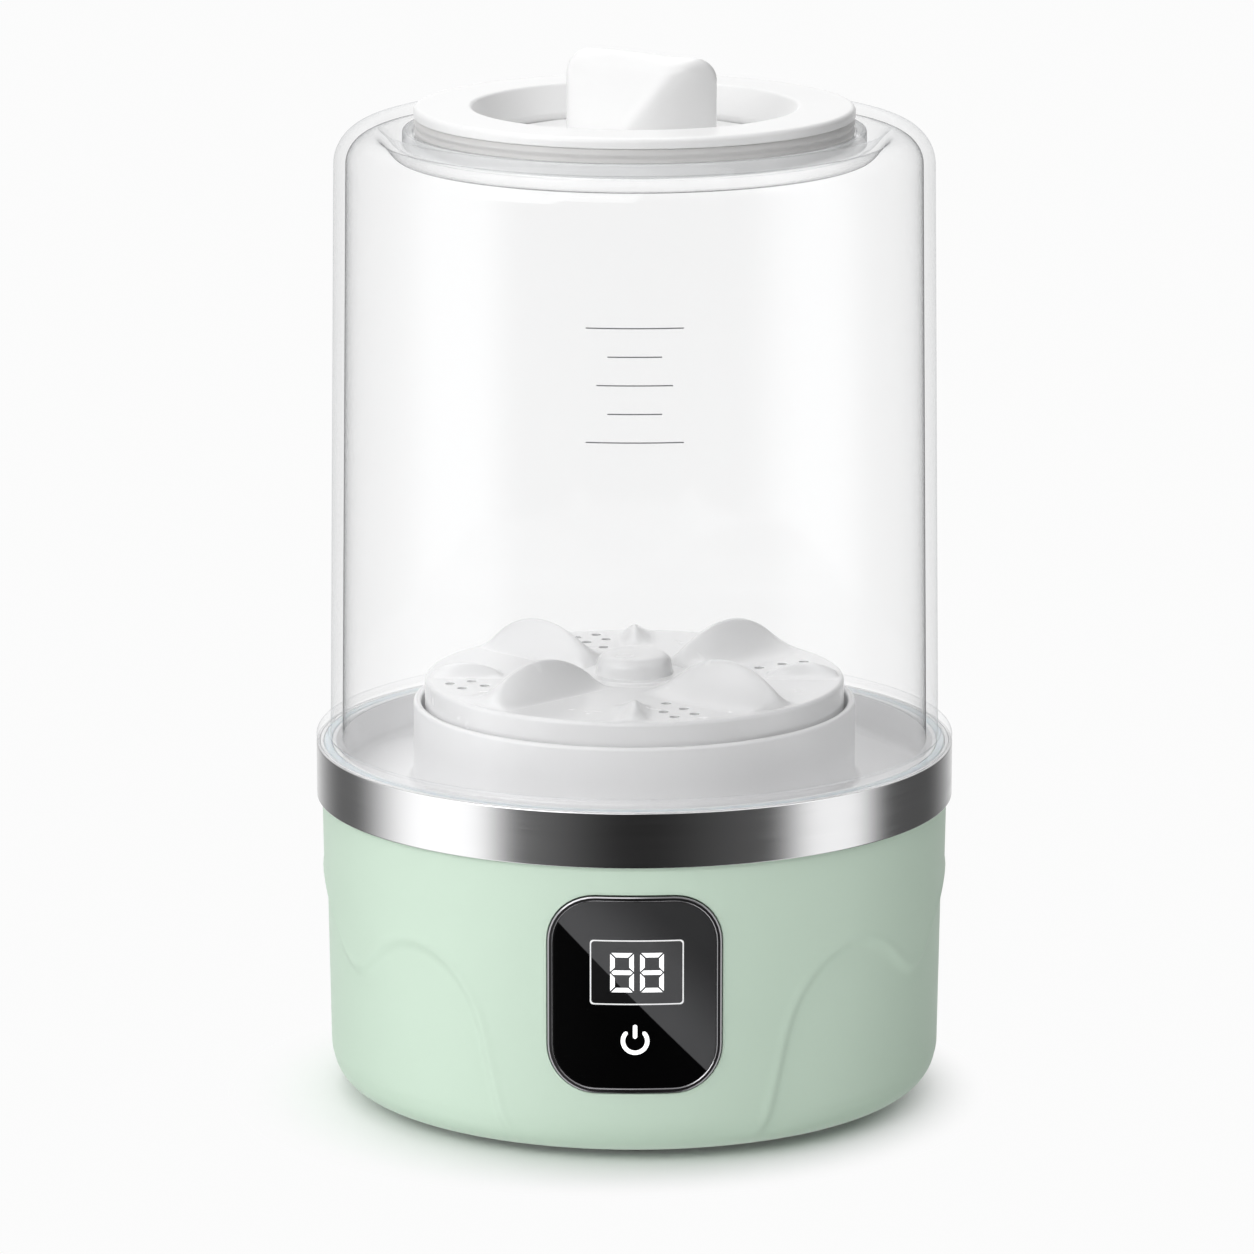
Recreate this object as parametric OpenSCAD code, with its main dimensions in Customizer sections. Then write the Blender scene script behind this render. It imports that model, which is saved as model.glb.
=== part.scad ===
// Yogurt maker: a heated base with a stirring drive, a clear jar and a lid with a twisted grip.
// Millimetres, +Z up. The panel faces -Y, and the origin is on the floor under the spindle.

/* [Outer shell] */
// Height of the feet between the floor and the shell
foot_lift = 2; // [1:0.5:4]
// Height of the shell from its flat bottom to the band
shell_h = 69.5; // [67:0.5:80]
// Radius of the shell's outside at its top edge
shell_top_r = 73.75; // [72.8:0.05:73.9]
// How much the shell's radius narrows from its top edge to its rounded foot
shell_taper = 1; // [0:0.1:2]
// Radius of the shell's rounded foot
shell_fillet = 10; // [8:0.5:11]
// Thickness of the shell's wall
shell_wall = 2.6; // [2.2:0.1:3]
// Thickness of the lip that the bottom cover bears on
shell_lip_t = 2.2; // [1.5:0.1:4]
// Width of the lip past the edge of the bottom cover
shell_lip_w = 1.6; // [1:0.1:1.9]

/* [Steel band] */
// Radius of the band's outside, the widest part of the base
band_r = 75; // [74.8:0.1:77]
// Height of the band
band_h = 12.9; // [11:0.1:18]
// Thickness of the band's sheet
band_t = 0.8; // [0.5:0.1:1]

/* [Deck] */
// Radius of the tray's inner wall
tray_r = 70.2; // [69:0.1:70.5]
// Depth of the tray below the band's top edge
tray_depth = 9.3; // [7:0.1:10]
// Thickness of the tray's floor
tray_t = 2.1; // [1.6:0.1:3]
// Depth of the collar that locates the deck in the shell
spigot_h = 5.5; // [3:0.5:7]
// Thickness of that collar
spigot_t = 1.8; // [1.2:0.1:2]
// Radius of the outside of the round seat
seat_r = 52.1; // [51.8:0.1:54]
// Thickness of the seat's wall
seat_t = 1.8; // [1.4:0.1:1.8]
// Height of the seat's wall above the band's top edge
seat_rise = 9.65; // [6:0.05:14]
// Height of the floor inside the seat above the tray's floor
cup_step = 4.9; // [4:0.1:7]
// Thickness of the floor inside the seat
cup_t = 2.2; // [1.6:0.1:3]
// Radius of the boss that carries the upper bush
bush_boss_r = 11; // [10:0.5:14]
// Height of that boss below the floor of the seat
bush_boss_h = 13; // [11:0.5:15]
// Radius of the posts that reach down to the bottom cover
post_r = 4; // [3:0.1:4.2]
// Radius of the circle that the posts stand on
post_circle_r = 55.5; // [55:0.1:55.8]

/* [Jar seal] */
// Mean radius of the seal in the deck's rim
jar_seal_r = 72.3; // [72:0.1:72.4]
// Width of the seal
jar_seal_w = 2; // [1.2:0.1:2.2]
// Depth of the seal's groove
jar_seal_depth = 1.6; // [1:0.1:3]

/* [Bottom cover] */
// Radius of the bottom cover
cover_r = 61.2; // [60.8:0.1:62]
// Thickness of the bottom cover
cover_t = 2.4; // [2.2:0.1:3.5]
// Radius of a rubber foot
foot_r = 7; // [5:0.5:9]
// Depth of the pocket that holds a foot
foot_pocket = 1.2; // [0.6:0.1:1.4]
// Radius of the circle that the feet stand on
foot_circle_r = 49; // [42:0.5:50]
// Radius of a foot's stem
foot_stem_r = 2.5; // [1.5:0.1:3]
// Radius of the barb on a foot's stem
foot_barb_r = 3.3; // [3.1:0.1:4]
// Height of that barb
foot_barb_h = 1.2; // [0.8:0.1:2]

/* [Screws] */
// Radius of the shank of a case screw
case_screw_r = 1.5; // [1.2:0.05:1.8]
// Radius of the head of a case screw
case_head_r = 3; // [2.6:0.1:3.4]
// Height of the head of a case screw
case_head_h = 1.6; // [1.2:0.1:1.8]
// Depth of the pocket for that head
case_pocket = 1.2; // [0.8:0.1:1.4]
// Length of the shank of a case screw
case_screw_l = 12; // [8:1:20]
// Radius of the shank of a small screw
small_screw_r = 1.25; // [1:0.05:1.4]
// Radius of the head of a small screw
small_head_r = 2.3; // [1.9:0.1:2.4]
// Height of the head of a small screw
small_head_h = 1; // [0.8:0.1:1.3]
// Length of the shank of a small screw
small_screw_l = 6; // [4:0.5:7]

/* [Front panel] */
// Width of the bezel
bezel_w = 39.8; // [36:0.1:41]
// Height of the bezel
bezel_h = 46.5; // [44:0.5:48]
// Corner radius of the bezel
bezel_corner_r = 11; // [8:0.5:13]
// Width of the bezel's rim
bezel_rim = 1.2; // [0.8:0.1:2]
// Height of the panel's centre above the shell's bottom
panel_rise = 39.4; // [37:0.1:40]
// Depth of the seat that is cut in the shell for the panel
panel_seat_depth = 1.4; // [1:0.1:1.5]
// How far the bezel stands out of the shell
bezel_proud = 0.7; // [0.4:0.1:1]
// How far the glass stands out of the shell
glass_proud = 0.45; // [0.1:0.05:0.6]
// Width of the ledge that the panel is bonded to
panel_ledge = 4; // [3:0.1:4.5]

/* [Controls] */
// Width of the control board
board_w = 46; // [45:0.5:48]
// Height of the control board
board_h = 50; // [46:0.5:50]
// Thickness of the circuit boards
board_t = 1.6; // [1:0.1:2]
// Distance from the panel glass's inner face to the control board
board_setback = 9.2; // [8:0.1:10]
// Sideways distance between the control board's bosses
board_boss_dx = 39; // [38.6:0.1:40]
// Upright distance between the control board's bosses
board_boss_dz = 42; // [38:0.5:43]
// Radius of a board boss
board_boss_r = 2.8; // [2.4:0.1:2.9]
// Width of the display module
display_w = 24; // [20:0.5:25]
// Height of the display module
display_h = 17; // [12:0.5:18]
// Height of the display's centre above the panel's centre
display_rise = 5.4; // [3:0.1:7]
// Gap between the panel's parts and the glass
glass_gap = 0.6; // [0.3:0.1:1]
// Distance of the touch mark's centre below the panel's centre
touch_drop = 10.5; // [9:0.1:12]
// Radius of the touch electrode's pad
touch_pad_r = 5; // [3:0.5:5.5]
// Thickness of that pad
touch_pad_t = 0.8; // [0.5:0.1:1.5]
// Radius of the spring behind the pad
touch_spring_r = 3.2; // [2.6:0.1:4]
// Wall of that spring
touch_spring_t = 0.8; // [0.5:0.1:1.2]

/* [Power board] */
// Length of the power board along X
power_l = 68; // [66:0.5:69]
// Width of the power board along Y
power_w = 46; // [44:0.5:47]
// Distance of the power board's centre in front of the spindle
power_shift = 17; // [15:0.5:19]
// Height of the pillars under the power board
power_pillar_h = 6.6; // [6:0.1:9]
// Radius of those pillars
power_pillar_r = 3; // [2.4:0.1:3.5]
// Distance from the board's edges to its pillars
power_inset = 4.5; // [4:0.1:6]
// Height of the transformer
transformer_h = 22; // [16:0.5:23]

/* [Power inlet] */
// Width of the inlet's body
inlet_w = 22; // [20:0.5:26]
// Height of the inlet's body
inlet_h = 13; // [12:0.5:16]
// Depth of the inlet's body behind its flange
inlet_depth = 15; // [14:0.5:16]
// Margin of the inlet's flange past its body
inlet_flange = 2.2; // [1.5:0.1:3]
// Thickness of that flange
inlet_flange_t = 2.4; // [2:0.1:2.5]
// Width of the inlet's socket
socket_w = 16.4; // [15:0.1:17]
// Height of the inlet's socket
socket_h = 8.6; // [8:0.1:9]
// Depth of the inlet's socket
socket_depth = 13; // [11:0.5:14]
// Distance between the inlet's two pins
pin_pitch = 8.6; // [8:0.1:9]
// Radius of a pin
pin_r = 1.2; // [1:0.05:1.4]
// Length of a pin inside the socket
pin_l = 10; // [8:0.5:12]
// Length of a pin behind the inlet
pin_tail = 3; // [2:0.5:4]
// Height of the inlet's centre above the shell's bottom
inlet_rise = 22; // [20:0.5:28]

/* [Heater] */
// Inner radius of the heater plate
heater_plate_ir = 53; // [52.9:0.1:53.6]
// Outer radius of the heater plate
heater_plate_or = 68.6; // [68:0.1:68.7]
// Thickness of the heater plate
heater_plate_t = 1.8; // [1.2:0.1:2.5]
// Mean radius of the heating element
heater_r = 64.6; // [63.8:0.1:65]
// Width of the heating element
heater_w = 5; // [4:0.1:6]
// Height of the heating element
heater_h = 4.2; // [3:0.1:4.6]
// Length of the gap between the element's two ends
heater_gap = 14; // [10:0.5:18]
// Length of the element's terminals
terminal_l = 7; // [4:0.5:8]
// Radius of the bosses that hold the heater plate
heater_boss_r = 2.4; // [2.1:0.1:2.4]
// Radius of the circle of those bosses
heater_boss_circle_r = 56.8; // [56.4:0.1:57.2]
// Radius of the shank of a heater screw
heater_screw_r = 0.95; // [0.8:0.05:1.2]
// How far the head of a heater screw reaches past its boss
heater_screw_reach = 1.2; // [0.8:0.1:1.4]
// Length of the temperature sensor
sensor_l = 8; // [6:0.5:10]
// Width of the temperature sensor
sensor_w = 5; // [4:0.5:5.5]
// Radius of the thermal fuse
fuse_r = 2; // [1.5:0.1:2.4]
// Length of the thermal fuse
fuse_l = 11; // [9:0.5:13]

/* [Gear train] */
// Module of the gears
gear_module = 0.8; // [0.78:0.005:0.81]
// Teeth of the gear on the spindle
spindle_teeth = 64; // [60:1:66]
// Teeth of the idler's large gear
idler_teeth = 48; // [44:1:50]
// Teeth of the idler's small gear
idler_pinion_teeth = 16; // [15:1:18]
// Teeth of the motor's pinion
motor_teeth = 16; // [15:1:18]
// Width of the gear teeth along their axis
gear_width = 5; // [3:0.5:5]
// Backlash between two meshing gears, measured along the pitch circle
gear_backlash = 0.28; // [0.2:0.02:0.4]
// Direction of the idler as seen from the spindle
idler_angle = 150; // [146:1:156]
// Direction of the motor as seen from the idler
motor_angle = 60; // [54:1:64]
// Space between the tray's floor and the top of the gear plate
gear_bay_h = 33.6; // [32.5:0.1:34.5]
// Radius of the gear plate
gear_plate_r = 56; // [53:0.5:57]
// Thickness of the gear plate
gear_plate_t = 1.5; // [1:0.1:2]
// Radius of the cable hole in the gear plate
cable_hole_r = 9; // [6:0.5:11]
// Radius of the posts that hang the gear plate from the deck
hanger_r = 3.6; // [3:0.1:4]
// Radius of the circle of those posts
hanger_circle_r = 46; // [44:0.5:46.2]
// Height of the deck's bosses that hold those posts
hanger_boss_h = 6; // [4:0.5:8]
// Space below the idler's large gear
idler_lift = 1.8; // [1.5:0.1:2.5]
// Space between the idler's large gear and the spindle's gear
gear_gap = 1.8; // [1:0.1:2.5]
// Radius of the idler's pin
idler_pin_r = 2; // [1.5:0.1:2.5]
// Radius of the head of the idler's pin
idler_head_r = 3.2; // [2.8:0.1:4]
// Height of that head
idler_head_h = 1.2; // [0.8:0.1:2]

/* [Spindle] */
// Radius of the spindle
spindle_r = 4; // [3.6:0.1:4.2]
// Radius across the corners of the drive hexagon
hex_r = 3.95; // [3.2:0.05:4]
// Height of the drive hexagon
hex_h = 17; // [10:0.5:17.5]
// Height of the round spindle above the floor of the seat
spindle_rise = 4; // [3:0.5:5]
// Length of the spindle below its lower bush
spindle_tail = 1.6; // [1:0.1:3]
// Radius of the hub of the spindle's gear
spindle_hub_r = 7.5; // [6.5:0.1:9]
// Height of that hub above the gear
spindle_hub_h = 2; // [1:0.5:2.5]
// Thickness of the thrust washer
washer_t = 0.6; // [0.3:0.1:1]
// Thickness of the retaining clips
clip_t = 0.8; // [0.5:0.1:1]
// Width of a retaining clip's ring
clip_w = 2.4; // [1.5:0.1:3]
// Depth of the grooves for the retaining clips
clip_groove = 0.5; // [0.3:0.05:0.7]

/* [Bearings] */
// Radius of the body of the bushes
bush_r = 7; // [6:0.1:7.4]
// Radius of the flange of the bushes
bush_flange_r = 9; // [8.5:0.1:9.8]
// Thickness of that flange
bush_flange_t = 1.5; // [1:0.1:2]
// Length of the lower bush below the gear plate's top
lower_bush_l = 7; // [4:0.5:7]
// Radius of the outside of the shaft seal
shaft_seal_r = 8.5; // [8:0.1:9]
// Height of the shaft seal
shaft_seal_h = 6; // [4:0.5:7]
// Height of the lip at the top of the shaft seal
seal_lip_h = 1.6; // [1:0.1:2]

/* [Motor] */
// Radius of the motor's can
motor_r = 13.9; // [12:0.1:14.2]
// Length of the motor's can
motor_l = 24; // [20:0.5:25]
// Thickness of the motor's end cap
motor_cap_t = 2.5; // [1.5:0.1:3]
// Radius of the motor's nose
motor_nose_r = 4; // [3:0.1:4.4]
// Radius of the motor's shaft
motor_shaft_r = 1.5; // [1:0.05:1.6]
// Length of the shaft inside the motor
motor_shaft_in = 17; // [10:0.5:18]
// Distance from the motor's axis to its screws
motor_screw_d = 8; // [7.6:0.1:8.5]
// Depth of the motor's screws in its can
motor_screw_l = 4; // [3:0.5:6]
// Length of the motor's terminals
motor_terminal_l = 2.4; // [1.5:0.1:2.6]

/* [Agitator disc] */
// Radius of the disc
disc_r = 49.4; // [47:0.1:49.6]
// Height of the disc's face above the seat's wall
disc_rise = 5.35; // [3:0.05:9]
// Thickness of the disc's face
disc_t = 2.4; // [1.8:0.1:3]
// Height of the disc's skirt
disc_skirt_h = 12.4; // [8:0.1:14]
// Thickness of the disc's skirt
disc_skirt_t = 2; // [1.4:0.1:3]
// Radius of the disc's hub at its foot
hub_r = 9.2; // [8.6:0.1:11]
// Radius of the hub's flat top
hub_top_r = 6.8; // [6:0.1:7.5]
// Height of the hub above the disc's face
hub_h = 5.3; // [4.4:0.1:8]
// Radius of the low step around the hub
hub_step_r = 13; // [12:0.1:14]
// Height of that step
hub_step_h = 0.7; // [0.4:0.1:1.5]
// Radius of the drive socket's boss under the disc
socket_boss_r = 7.5; // [6.5:0.1:9]
// Height of a large vane
vane_h = 8.3; // [5:0.1:10]
// Distance from the axis to the inner end of a large vane
vane_r0 = 14; // [13:0.5:18]
// Distance from the axis to the outer end of a large vane
vane_r1 = 47.6; // [42:0.1:48]
// Half of a large vane's width
vane_half_w = 13.5; // [9:0.5:14]
// Height of a small fin
fin_h = 2.8; // [1.5:0.1:4]
// Distance from the axis to the inner end of a small fin
fin_r0 = 32; // [26:0.5:36]
// Distance from the axis to the outer end of a small fin
fin_r1 = 48.4; // [44:0.1:48.8]
// Half of a small fin's width
fin_half_w = 5; // [3:0.5:6]
// Radius of a hole in the disc
disc_hole_r = 1.2; // [0.8:0.1:1.4]

/* [Jar] */
// Radius of the jar's outside just above its foot
jar_r = 71.65; // [71:0.05:71.8]
// How much the jar's radius narrows from its foot to its shoulder
jar_taper = 1.75; // [0:0.05:3]
// Thickness of the jar's wall
jar_wall = 2.8; // [2.2:0.1:3]
// Height of the jar from its foot to the crest of its shoulder
jar_h = 146.1; // [130:0.1:170]
// Radius of the jar's rounded shoulder
shoulder_r = 9.3; // [7:0.1:10]
// Thickness of the jar's foot
jar_foot_t = 2.6; // [2.2:0.1:4]
// Width of the channel between the foot's rolled edge and the wall
foot_channel_w = 0.9; // [0.5:0.1:1]
// Depth of that channel
foot_channel_d = 1; // [0.4:0.1:1.4]
// Depth of the gutter between the shoulder's crest and the collar
gutter_d = 4.9; // [3:0.1:5]
// Thickness of the shoulder, measured upright
shoulder_t = 2.8; // [2.4:0.1:3.4]
// Radius of the outside of the jar's collar
collar_r = 53.9; // [53.4:0.1:54.4]
// Thickness of the collar
collar_t = 2.4; // [1.6:0.1:2.4]
// Height of the collar above the gutter
collar_h = 3.7; // [3:0.1:5]
// Width of the flat bottom of the gutter
gutter_w = 0.7; // [0.4:0.1:1.4]
// Width of the ledge that the lid rests on
ledge_w = 4.9; // [4:0.1:6]

/* [Lid] */
// Radius of the lid's flange
lid_r = 51.3; // [50.6:0.1:53]
// Thickness of the lid's flange
lid_flange_t = 2.5; // [2.4:0.1:3]
// Radius of the flange's rounded upper edge
lid_edge_r = 1.8; // [1:0.1:2.2]
// Thickness of the lid's walls
lid_wall = 2.4; // [1.8:0.1:2.4]
// Height of the plug between the jar's ledge and the flange
plug_h = 6.6; // [6:0.1:8]
// Thickness of the gasket
gasket_t = 1.9; // [1.2:0.1:1.9]
// Radius of the recess at the lid's top
recess_r = 38; // [37:0.1:40]
// Radius of the recess at its floor
recess_floor_r = 33.7; // [32:0.1:35]
// Depth of the recess
recess_depth = 7.2; // [6:0.1:7.6]

/* [Grip] */
// Half of the grip's length
grip_half_l = 17.4; // [15:0.1:19]
// Height of the grip above the floor of the recess
grip_h = 19.4; // [15:0.1:26]
// Sideways distance from the lid's centre to the grip's centre
grip_shift = 1.6; // [0:0.1:3]
// Radius of the grip's rounded top corners, seen from the front
grip_end_r = 5; // [3:0.1:7]
// Radius of the edges along the grip's top
grip_edge_r = 2.6; // [1:0.1:3]
// Depth of a lobe at the grip's foot
grip_lobe_foot = 13; // [11:0.1:14]
// Depth of a lobe at the grip's top
grip_lobe_top = 12; // [10:0.1:13]
// Depth of the grip's hollow side at its foot
grip_hollow_foot = 5; // [3:0.1:7]
// Depth of the grip's hollow side at its top, negative past the middle
grip_hollow_top = -5; // [-5:0.1:0]

/* [Wires] */
// Radius of a power wire
wire_r = 1; // [0.6:0.1:1.1]
// Width of the flat cable between the two boards
ribbon_w = 12; // [8:0.5:14]
// Thickness of that flat cable
ribbon_t = 1; // [0.6:0.1:1.2]

/* [Clearances] */
// Gap of a bonded or slip fit between two pieces
glue_gap = 0.05; // [0.02:0.01:0.08]
// Gap around a piece that drops into a pocket
pocket_gap = 0.3; // [0.2:0.05:0.4]
// Gap around a screw's shank in its own hole
thread_gap = 0.05; // [0.02:0.01:0.08]
// Radial gap between a shaft and its bearing
running_gap = 0.04; // [0.02:0.01:0.08]
// Gap between two faces that turn past each other
thrust_gap = 0.1; // [0.05:0.01:0.2]
// Gap between the jar's foot and the band
jar_seat_gap = 0.2; // [0.15:0.01:0.3]
// Gap between the seal's top and the jar's foot
seal_gap = 0.1; // [0.05:0.01:0.14]
// Gap between the lid's plug and the jar's ledge
lid_seat_gap = 0.1; // [0.05:0.01:0.3]
// Gap between the top of the spindle and the disc's socket
socket_gap = 0.3; // [0.1:0.05:0.5]

/* [Hidden] */
$fn = 64;

// How far a cutting shape reaches past the face that it cuts
cut = 1;
post_angles = [45, 135, 225, 315];
side_angles = [0, 90, 180, 270];
hanger_angles = [85, 205, 325];

// Levels from the floor up
shell_z0 = foot_lift;
shell_z1 = shell_z0 + shell_h;
cover_z1 = shell_z0 + cover_t;
fillet_z = shell_z0 + shell_fillet;
band_z1 = shell_z1 + band_h;
tray_z = band_z1 - tray_depth;
tray_z0 = tray_z - tray_t;
cup_z = tray_z + cup_step;
cup_z0 = cup_z - cup_t;
seat_z1 = band_z1 + seat_rise;
disc_z = seat_z1 + disc_rise;
jar_z0 = band_z1 + jar_seat_gap;
jar_foot_z1 = jar_z0 + jar_foot_t;
crest_z = jar_z0 + jar_h;
gutter_z = crest_z - gutter_d;
ledge_z = gutter_z;
lid_z0 = ledge_z + lid_seat_gap;
lid_flange_z = lid_z0 + plug_h;
lid_z1 = lid_flange_z + lid_flange_t;
recess_z = lid_z1 - recess_depth;

// Shell and deck
shell_foot_r = shell_top_r - shell_taper;
shell_inner_top_r = shell_top_r - shell_wall;
cover_recess_r = cover_r + pocket_gap;
lip_r = cover_recess_r - shell_lip_w;
spigot_r = shell_inner_top_r - shell_taper * spigot_h / shell_h - pocket_gap;
spigot_inner_r = spigot_r - spigot_t;
deck_r = band_r - band_t - glue_gap;
seat_ir = seat_r - seat_t;
seal_groove_w = jar_seal_w + 2 * glue_gap;
bush_boss_z = cup_z0 - bush_boss_h;

// Panel and boards
panel_z = shell_z0 + panel_rise;
glass_w = bezel_w - 2 * bezel_rim;
glass_h = bezel_h - 2 * bezel_rim;
glass_corner_r = bezel_corner_r - bezel_rim;
glass_back_r = shell_radius(panel_z) - panel_seat_depth + glue_gap;
board_y = board_setback - glass_back_r;
display_y = -sqrt(pow(glass_back_r - glass_gap, 2) - pow(display_w / 2, 2));
display_z = panel_z + display_rise;
touch_z = panel_z - touch_drop;
touch_y = -sqrt(pow(glass_back_r - glass_gap, 2) - pow(touch_pad_r, 2));
board_boss_xs = [-board_boss_dx / 2, board_boss_dx / 2];
board_boss_zs = [panel_z - board_boss_dz / 2, panel_z + board_boss_dz / 2];
power_z = cover_z1 + power_pillar_h;
power_top_z = power_z + board_t;
power_pillar_xs = [power_inset - power_l / 2, power_l / 2 - power_inset];
power_pillar_ys = [power_inset - power_w / 2 - power_shift, power_w / 2 - power_inset - power_shift];
inlet_z = shell_z0 + inlet_rise;
inlet_y = shell_radius(inlet_z);

// Heater
element_z0 = tray_z0 - heater_plate_t - heater_h;
plate_under_z = tray_z0 - heater_plate_t;
heater_boss_z = plate_under_z - glue_gap;

heater_screw_l = heater_plate_t + glue_gap;

// Gear train
hanger_stud_l = hanger_boss_h - cut;
gear_plate_z = tray_z - gear_bay_h;
gear_plate_z0 = gear_plate_z - gear_plate_t;
pressure_angle = 20;
addendum = 0.85;
dedendum = 1.15;
idler_d = gear_module * (spindle_teeth + idler_pinion_teeth) / 2;
motor_d = gear_module * (idler_teeth + motor_teeth) / 2;
idler_pos = idler_d * [cos(idler_angle), sin(idler_angle)];
motor_pos = idler_pos + motor_d * [cos(motor_angle), sin(motor_angle)];
idler_gear_z = gear_plate_z + idler_lift;
idler_pinion_z = idler_gear_z + gear_width;
spindle_gear_z = idler_pinion_z + gear_gap;
idler_top_z = spindle_gear_z + gear_width + gear_gap / 2;
idler_clip_z = idler_top_z + thrust_gap;
idler_pin_z1 = idler_clip_z + clip_t + clip_t;
motor_z = gear_plate_z0 - motor_l;
pinion_margin = 0.5;
washer_z = gear_plate_z + bush_flange_t + thrust_gap;
spindle_hub_z = washer_z + washer_t;
spindle_hub_z1 = spindle_gear_z + gear_width + spindle_hub_h;
spindle_z0 = gear_plate_z - lower_bush_l - spindle_tail;
hex_z = cup_z + spindle_rise;
hex_z1 = hex_z + hex_h;
upper_bush_z = bush_boss_z - bush_flange_t;
spindle_clip_z = upper_bush_z - thrust_gap - clip_t;
shaft_seal_z = cup_z - shaft_seal_h;
gear_bottom_clear = 0.4;

// Radius of the shell's straight side at height z
function shell_radius(z) =
    shell_foot_r + shell_taper * (z - fillet_z) / (shell_z1 - fillet_z);

// Points along an arc about (x, y)
function arc(x, y, r, a0, a1, n = 8) =
    [for (i = [0:n]) [x + r * cos(a0 + (a1 - a0) * i / n), y + r * sin(a0 + (a1 - a0) * i / n)]];

// Smooth step from 0 to 1 between a and b
function smooth(a, b, x) =
    let (t = max(0, min(1, (x - a) / (b - a)))) t * t * (3 - 2 * t);

// Involute of the angle a, in degrees
function involute(a) = tan(a) * 180 / PI - a;

// Half of a tooth's angle at radius rho
function tooth_half_angle(teeth, rho) =
    let (pitch_r = gear_module * teeth / 2, base_r = pitch_r * cos(pressure_angle))
    90 / teeth - gear_backlash / 4 / pitch_r * 180 / PI
        + involute(pressure_angle) - involute(acos(min(1, base_r / max(rho, base_r))));

function gear_tip_r(teeth) = gear_module * (teeth / 2 + addendum);

// Outline of a spur gear with a tooth centred on +X
function gear_outline(teeth, steps = 4) =
    let (root_r = gear_module * (teeth / 2 - dedendum), tip_r = gear_tip_r(teeth))
    [for (k = [0:teeth - 1], side = [-1, 1], i = [0:steps])
        let (
            rise = side < 0 ? i / steps : 1 - i / steps,
            rho = root_r + (tip_r - root_r) * rise,
            a = 360 * k / teeth + side * tooth_half_angle(teeth, rho)
        )
        rho * [cos(a), sin(a)]];

module gear(teeth, width) {
    linear_extrude(width) polygon(gear_outline(teeth));
}

module rounded_rect(w, h, r) {
    square([w - 2 * r, h], center = true);
    square([w, h - 2 * r], center = true);
    for (x = [r - w / 2, w / 2 - r], y = [r - h / 2, h / 2 - r]) translate([x, y]) circle(r);
}

// A rounded block that reaches from the plane y = y0 outward to y = y1, centred at height z
module front_prism(w, h, r, z, y0, y1) {
    translate([0, y1, z]) rotate([90, 0, 0]) linear_extrude(y1 - y0) rounded_rect(w, h, r);
}

// A skin that follows the shell's side between two distances from its surface
module shell_skin(inner, outer) {
    z0 = panel_z - bezel_h;
    z1 = panel_z + bezel_h;
    rotate_extrude() polygon([
        [shell_radius(z0) + inner, z0], [shell_radius(z0) + outer, z0],
        [shell_radius(z1) + outer, z1], [shell_radius(z1) + inner, z1]
    ]);
}

module ring(inner_r, outer_r, h) {
    difference() {
        cylinder(r = outer_r, h = h);
        translate([0, 0, -cut]) cylinder(r = inner_r, h = h + 2 * cut);
    }
}

// A pan head screw that points up, with its head's face at z = 0
module screw(shank_r, head_r, head_h, length) {
    slot_w = head_r / 4;
    slot_l = head_r * 1.2;
    difference() {
        union() {
            cylinder(r = head_r, h = head_h);
            cylinder(r = shank_r, h = head_h + length);
        }
        for (turn = [0, 90]) rotate(turn)
            translate([-slot_l / 2, -slot_w / 2, -cut]) cube([slot_l, slot_w, cut + head_h / 2]);
    }
}

module small_screw(length = small_screw_l) {
    screw(small_screw_r, small_head_r, small_head_h, length);
}

// A retaining clip: an open ring that snaps into a shaft's groove
module clip(shaft_r) {
    difference() {
        ring(shaft_r - clip_groove + glue_gap, shaft_r + clip_w, clip_t);
        translate([0, -shaft_r / 2, -cut]) cube([shaft_r + clip_w + cut, shaft_r, clip_t + 2 * cut]);
    }
}

function unit(v) = v / norm(v);

// Points of a smooth curve through a list of points
function curve(points, n = 5) =
    let (last = len(points) - 1)
    concat([for (i = [0:last - 1], k = [0:n - 1])
        let (
            t = k / n,
            p0 = points[max(0, i - 1)],
            p1 = points[i],
            p2 = points[i + 1],
            p3 = points[min(last, i + 2)]
        )
        p1 + t * (p2 - p0) / 2 + t * t * (p0 - 2.5 * p1 + 2 * p2 - p3 / 2)
            + t * t * t * (1.5 * p1 - p0 / 2 - 1.5 * p2 + p3 / 2)], [points[last]]);

// Side directions carried along a list of tangents without twisting
function carried(tangents, side, i = 0) =
    i == len(tangents) ? []
    : let (next = unit(side - (side * tangents[i]) * tangents[i]))
        concat([next], carried(tangents, next, i + 1));

// A round wire swept along a smooth curve through a list of points
module wire(points, r, n = 8) {
    path = curve(points);
    last = len(path) - 1;
    tangents = [for (i = [0:last]) unit(path[min(last, i + 1)] - path[max(0, i - 1)])];
    sides = carried(tangents, [0.6, 0.5, 0.7]);
    rings = [for (i = [0:last], k = [0:n - 1])
        path[i] + r * (cos(360 * k / n) * sides[i] + sin(360 * k / n) * cross(tangents[i], sides[i]))];
    polyhedron(rings, concat(
        [[for (k = [0:n - 1]) k]],
        [for (i = [0:last - 1], k = [0:n - 1])
            let (a = i * n + k, b = i * n + (k + 1) % n) [a, a + n, b]],
        [for (i = [0:last - 1], k = [0:n - 1])
            let (a = i * n + k, b = i * n + (k + 1) % n) [b, a + n, b + n]],
        [[for (k = [n - 1:-1:0]) last * n + k]]
    ));
}

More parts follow.
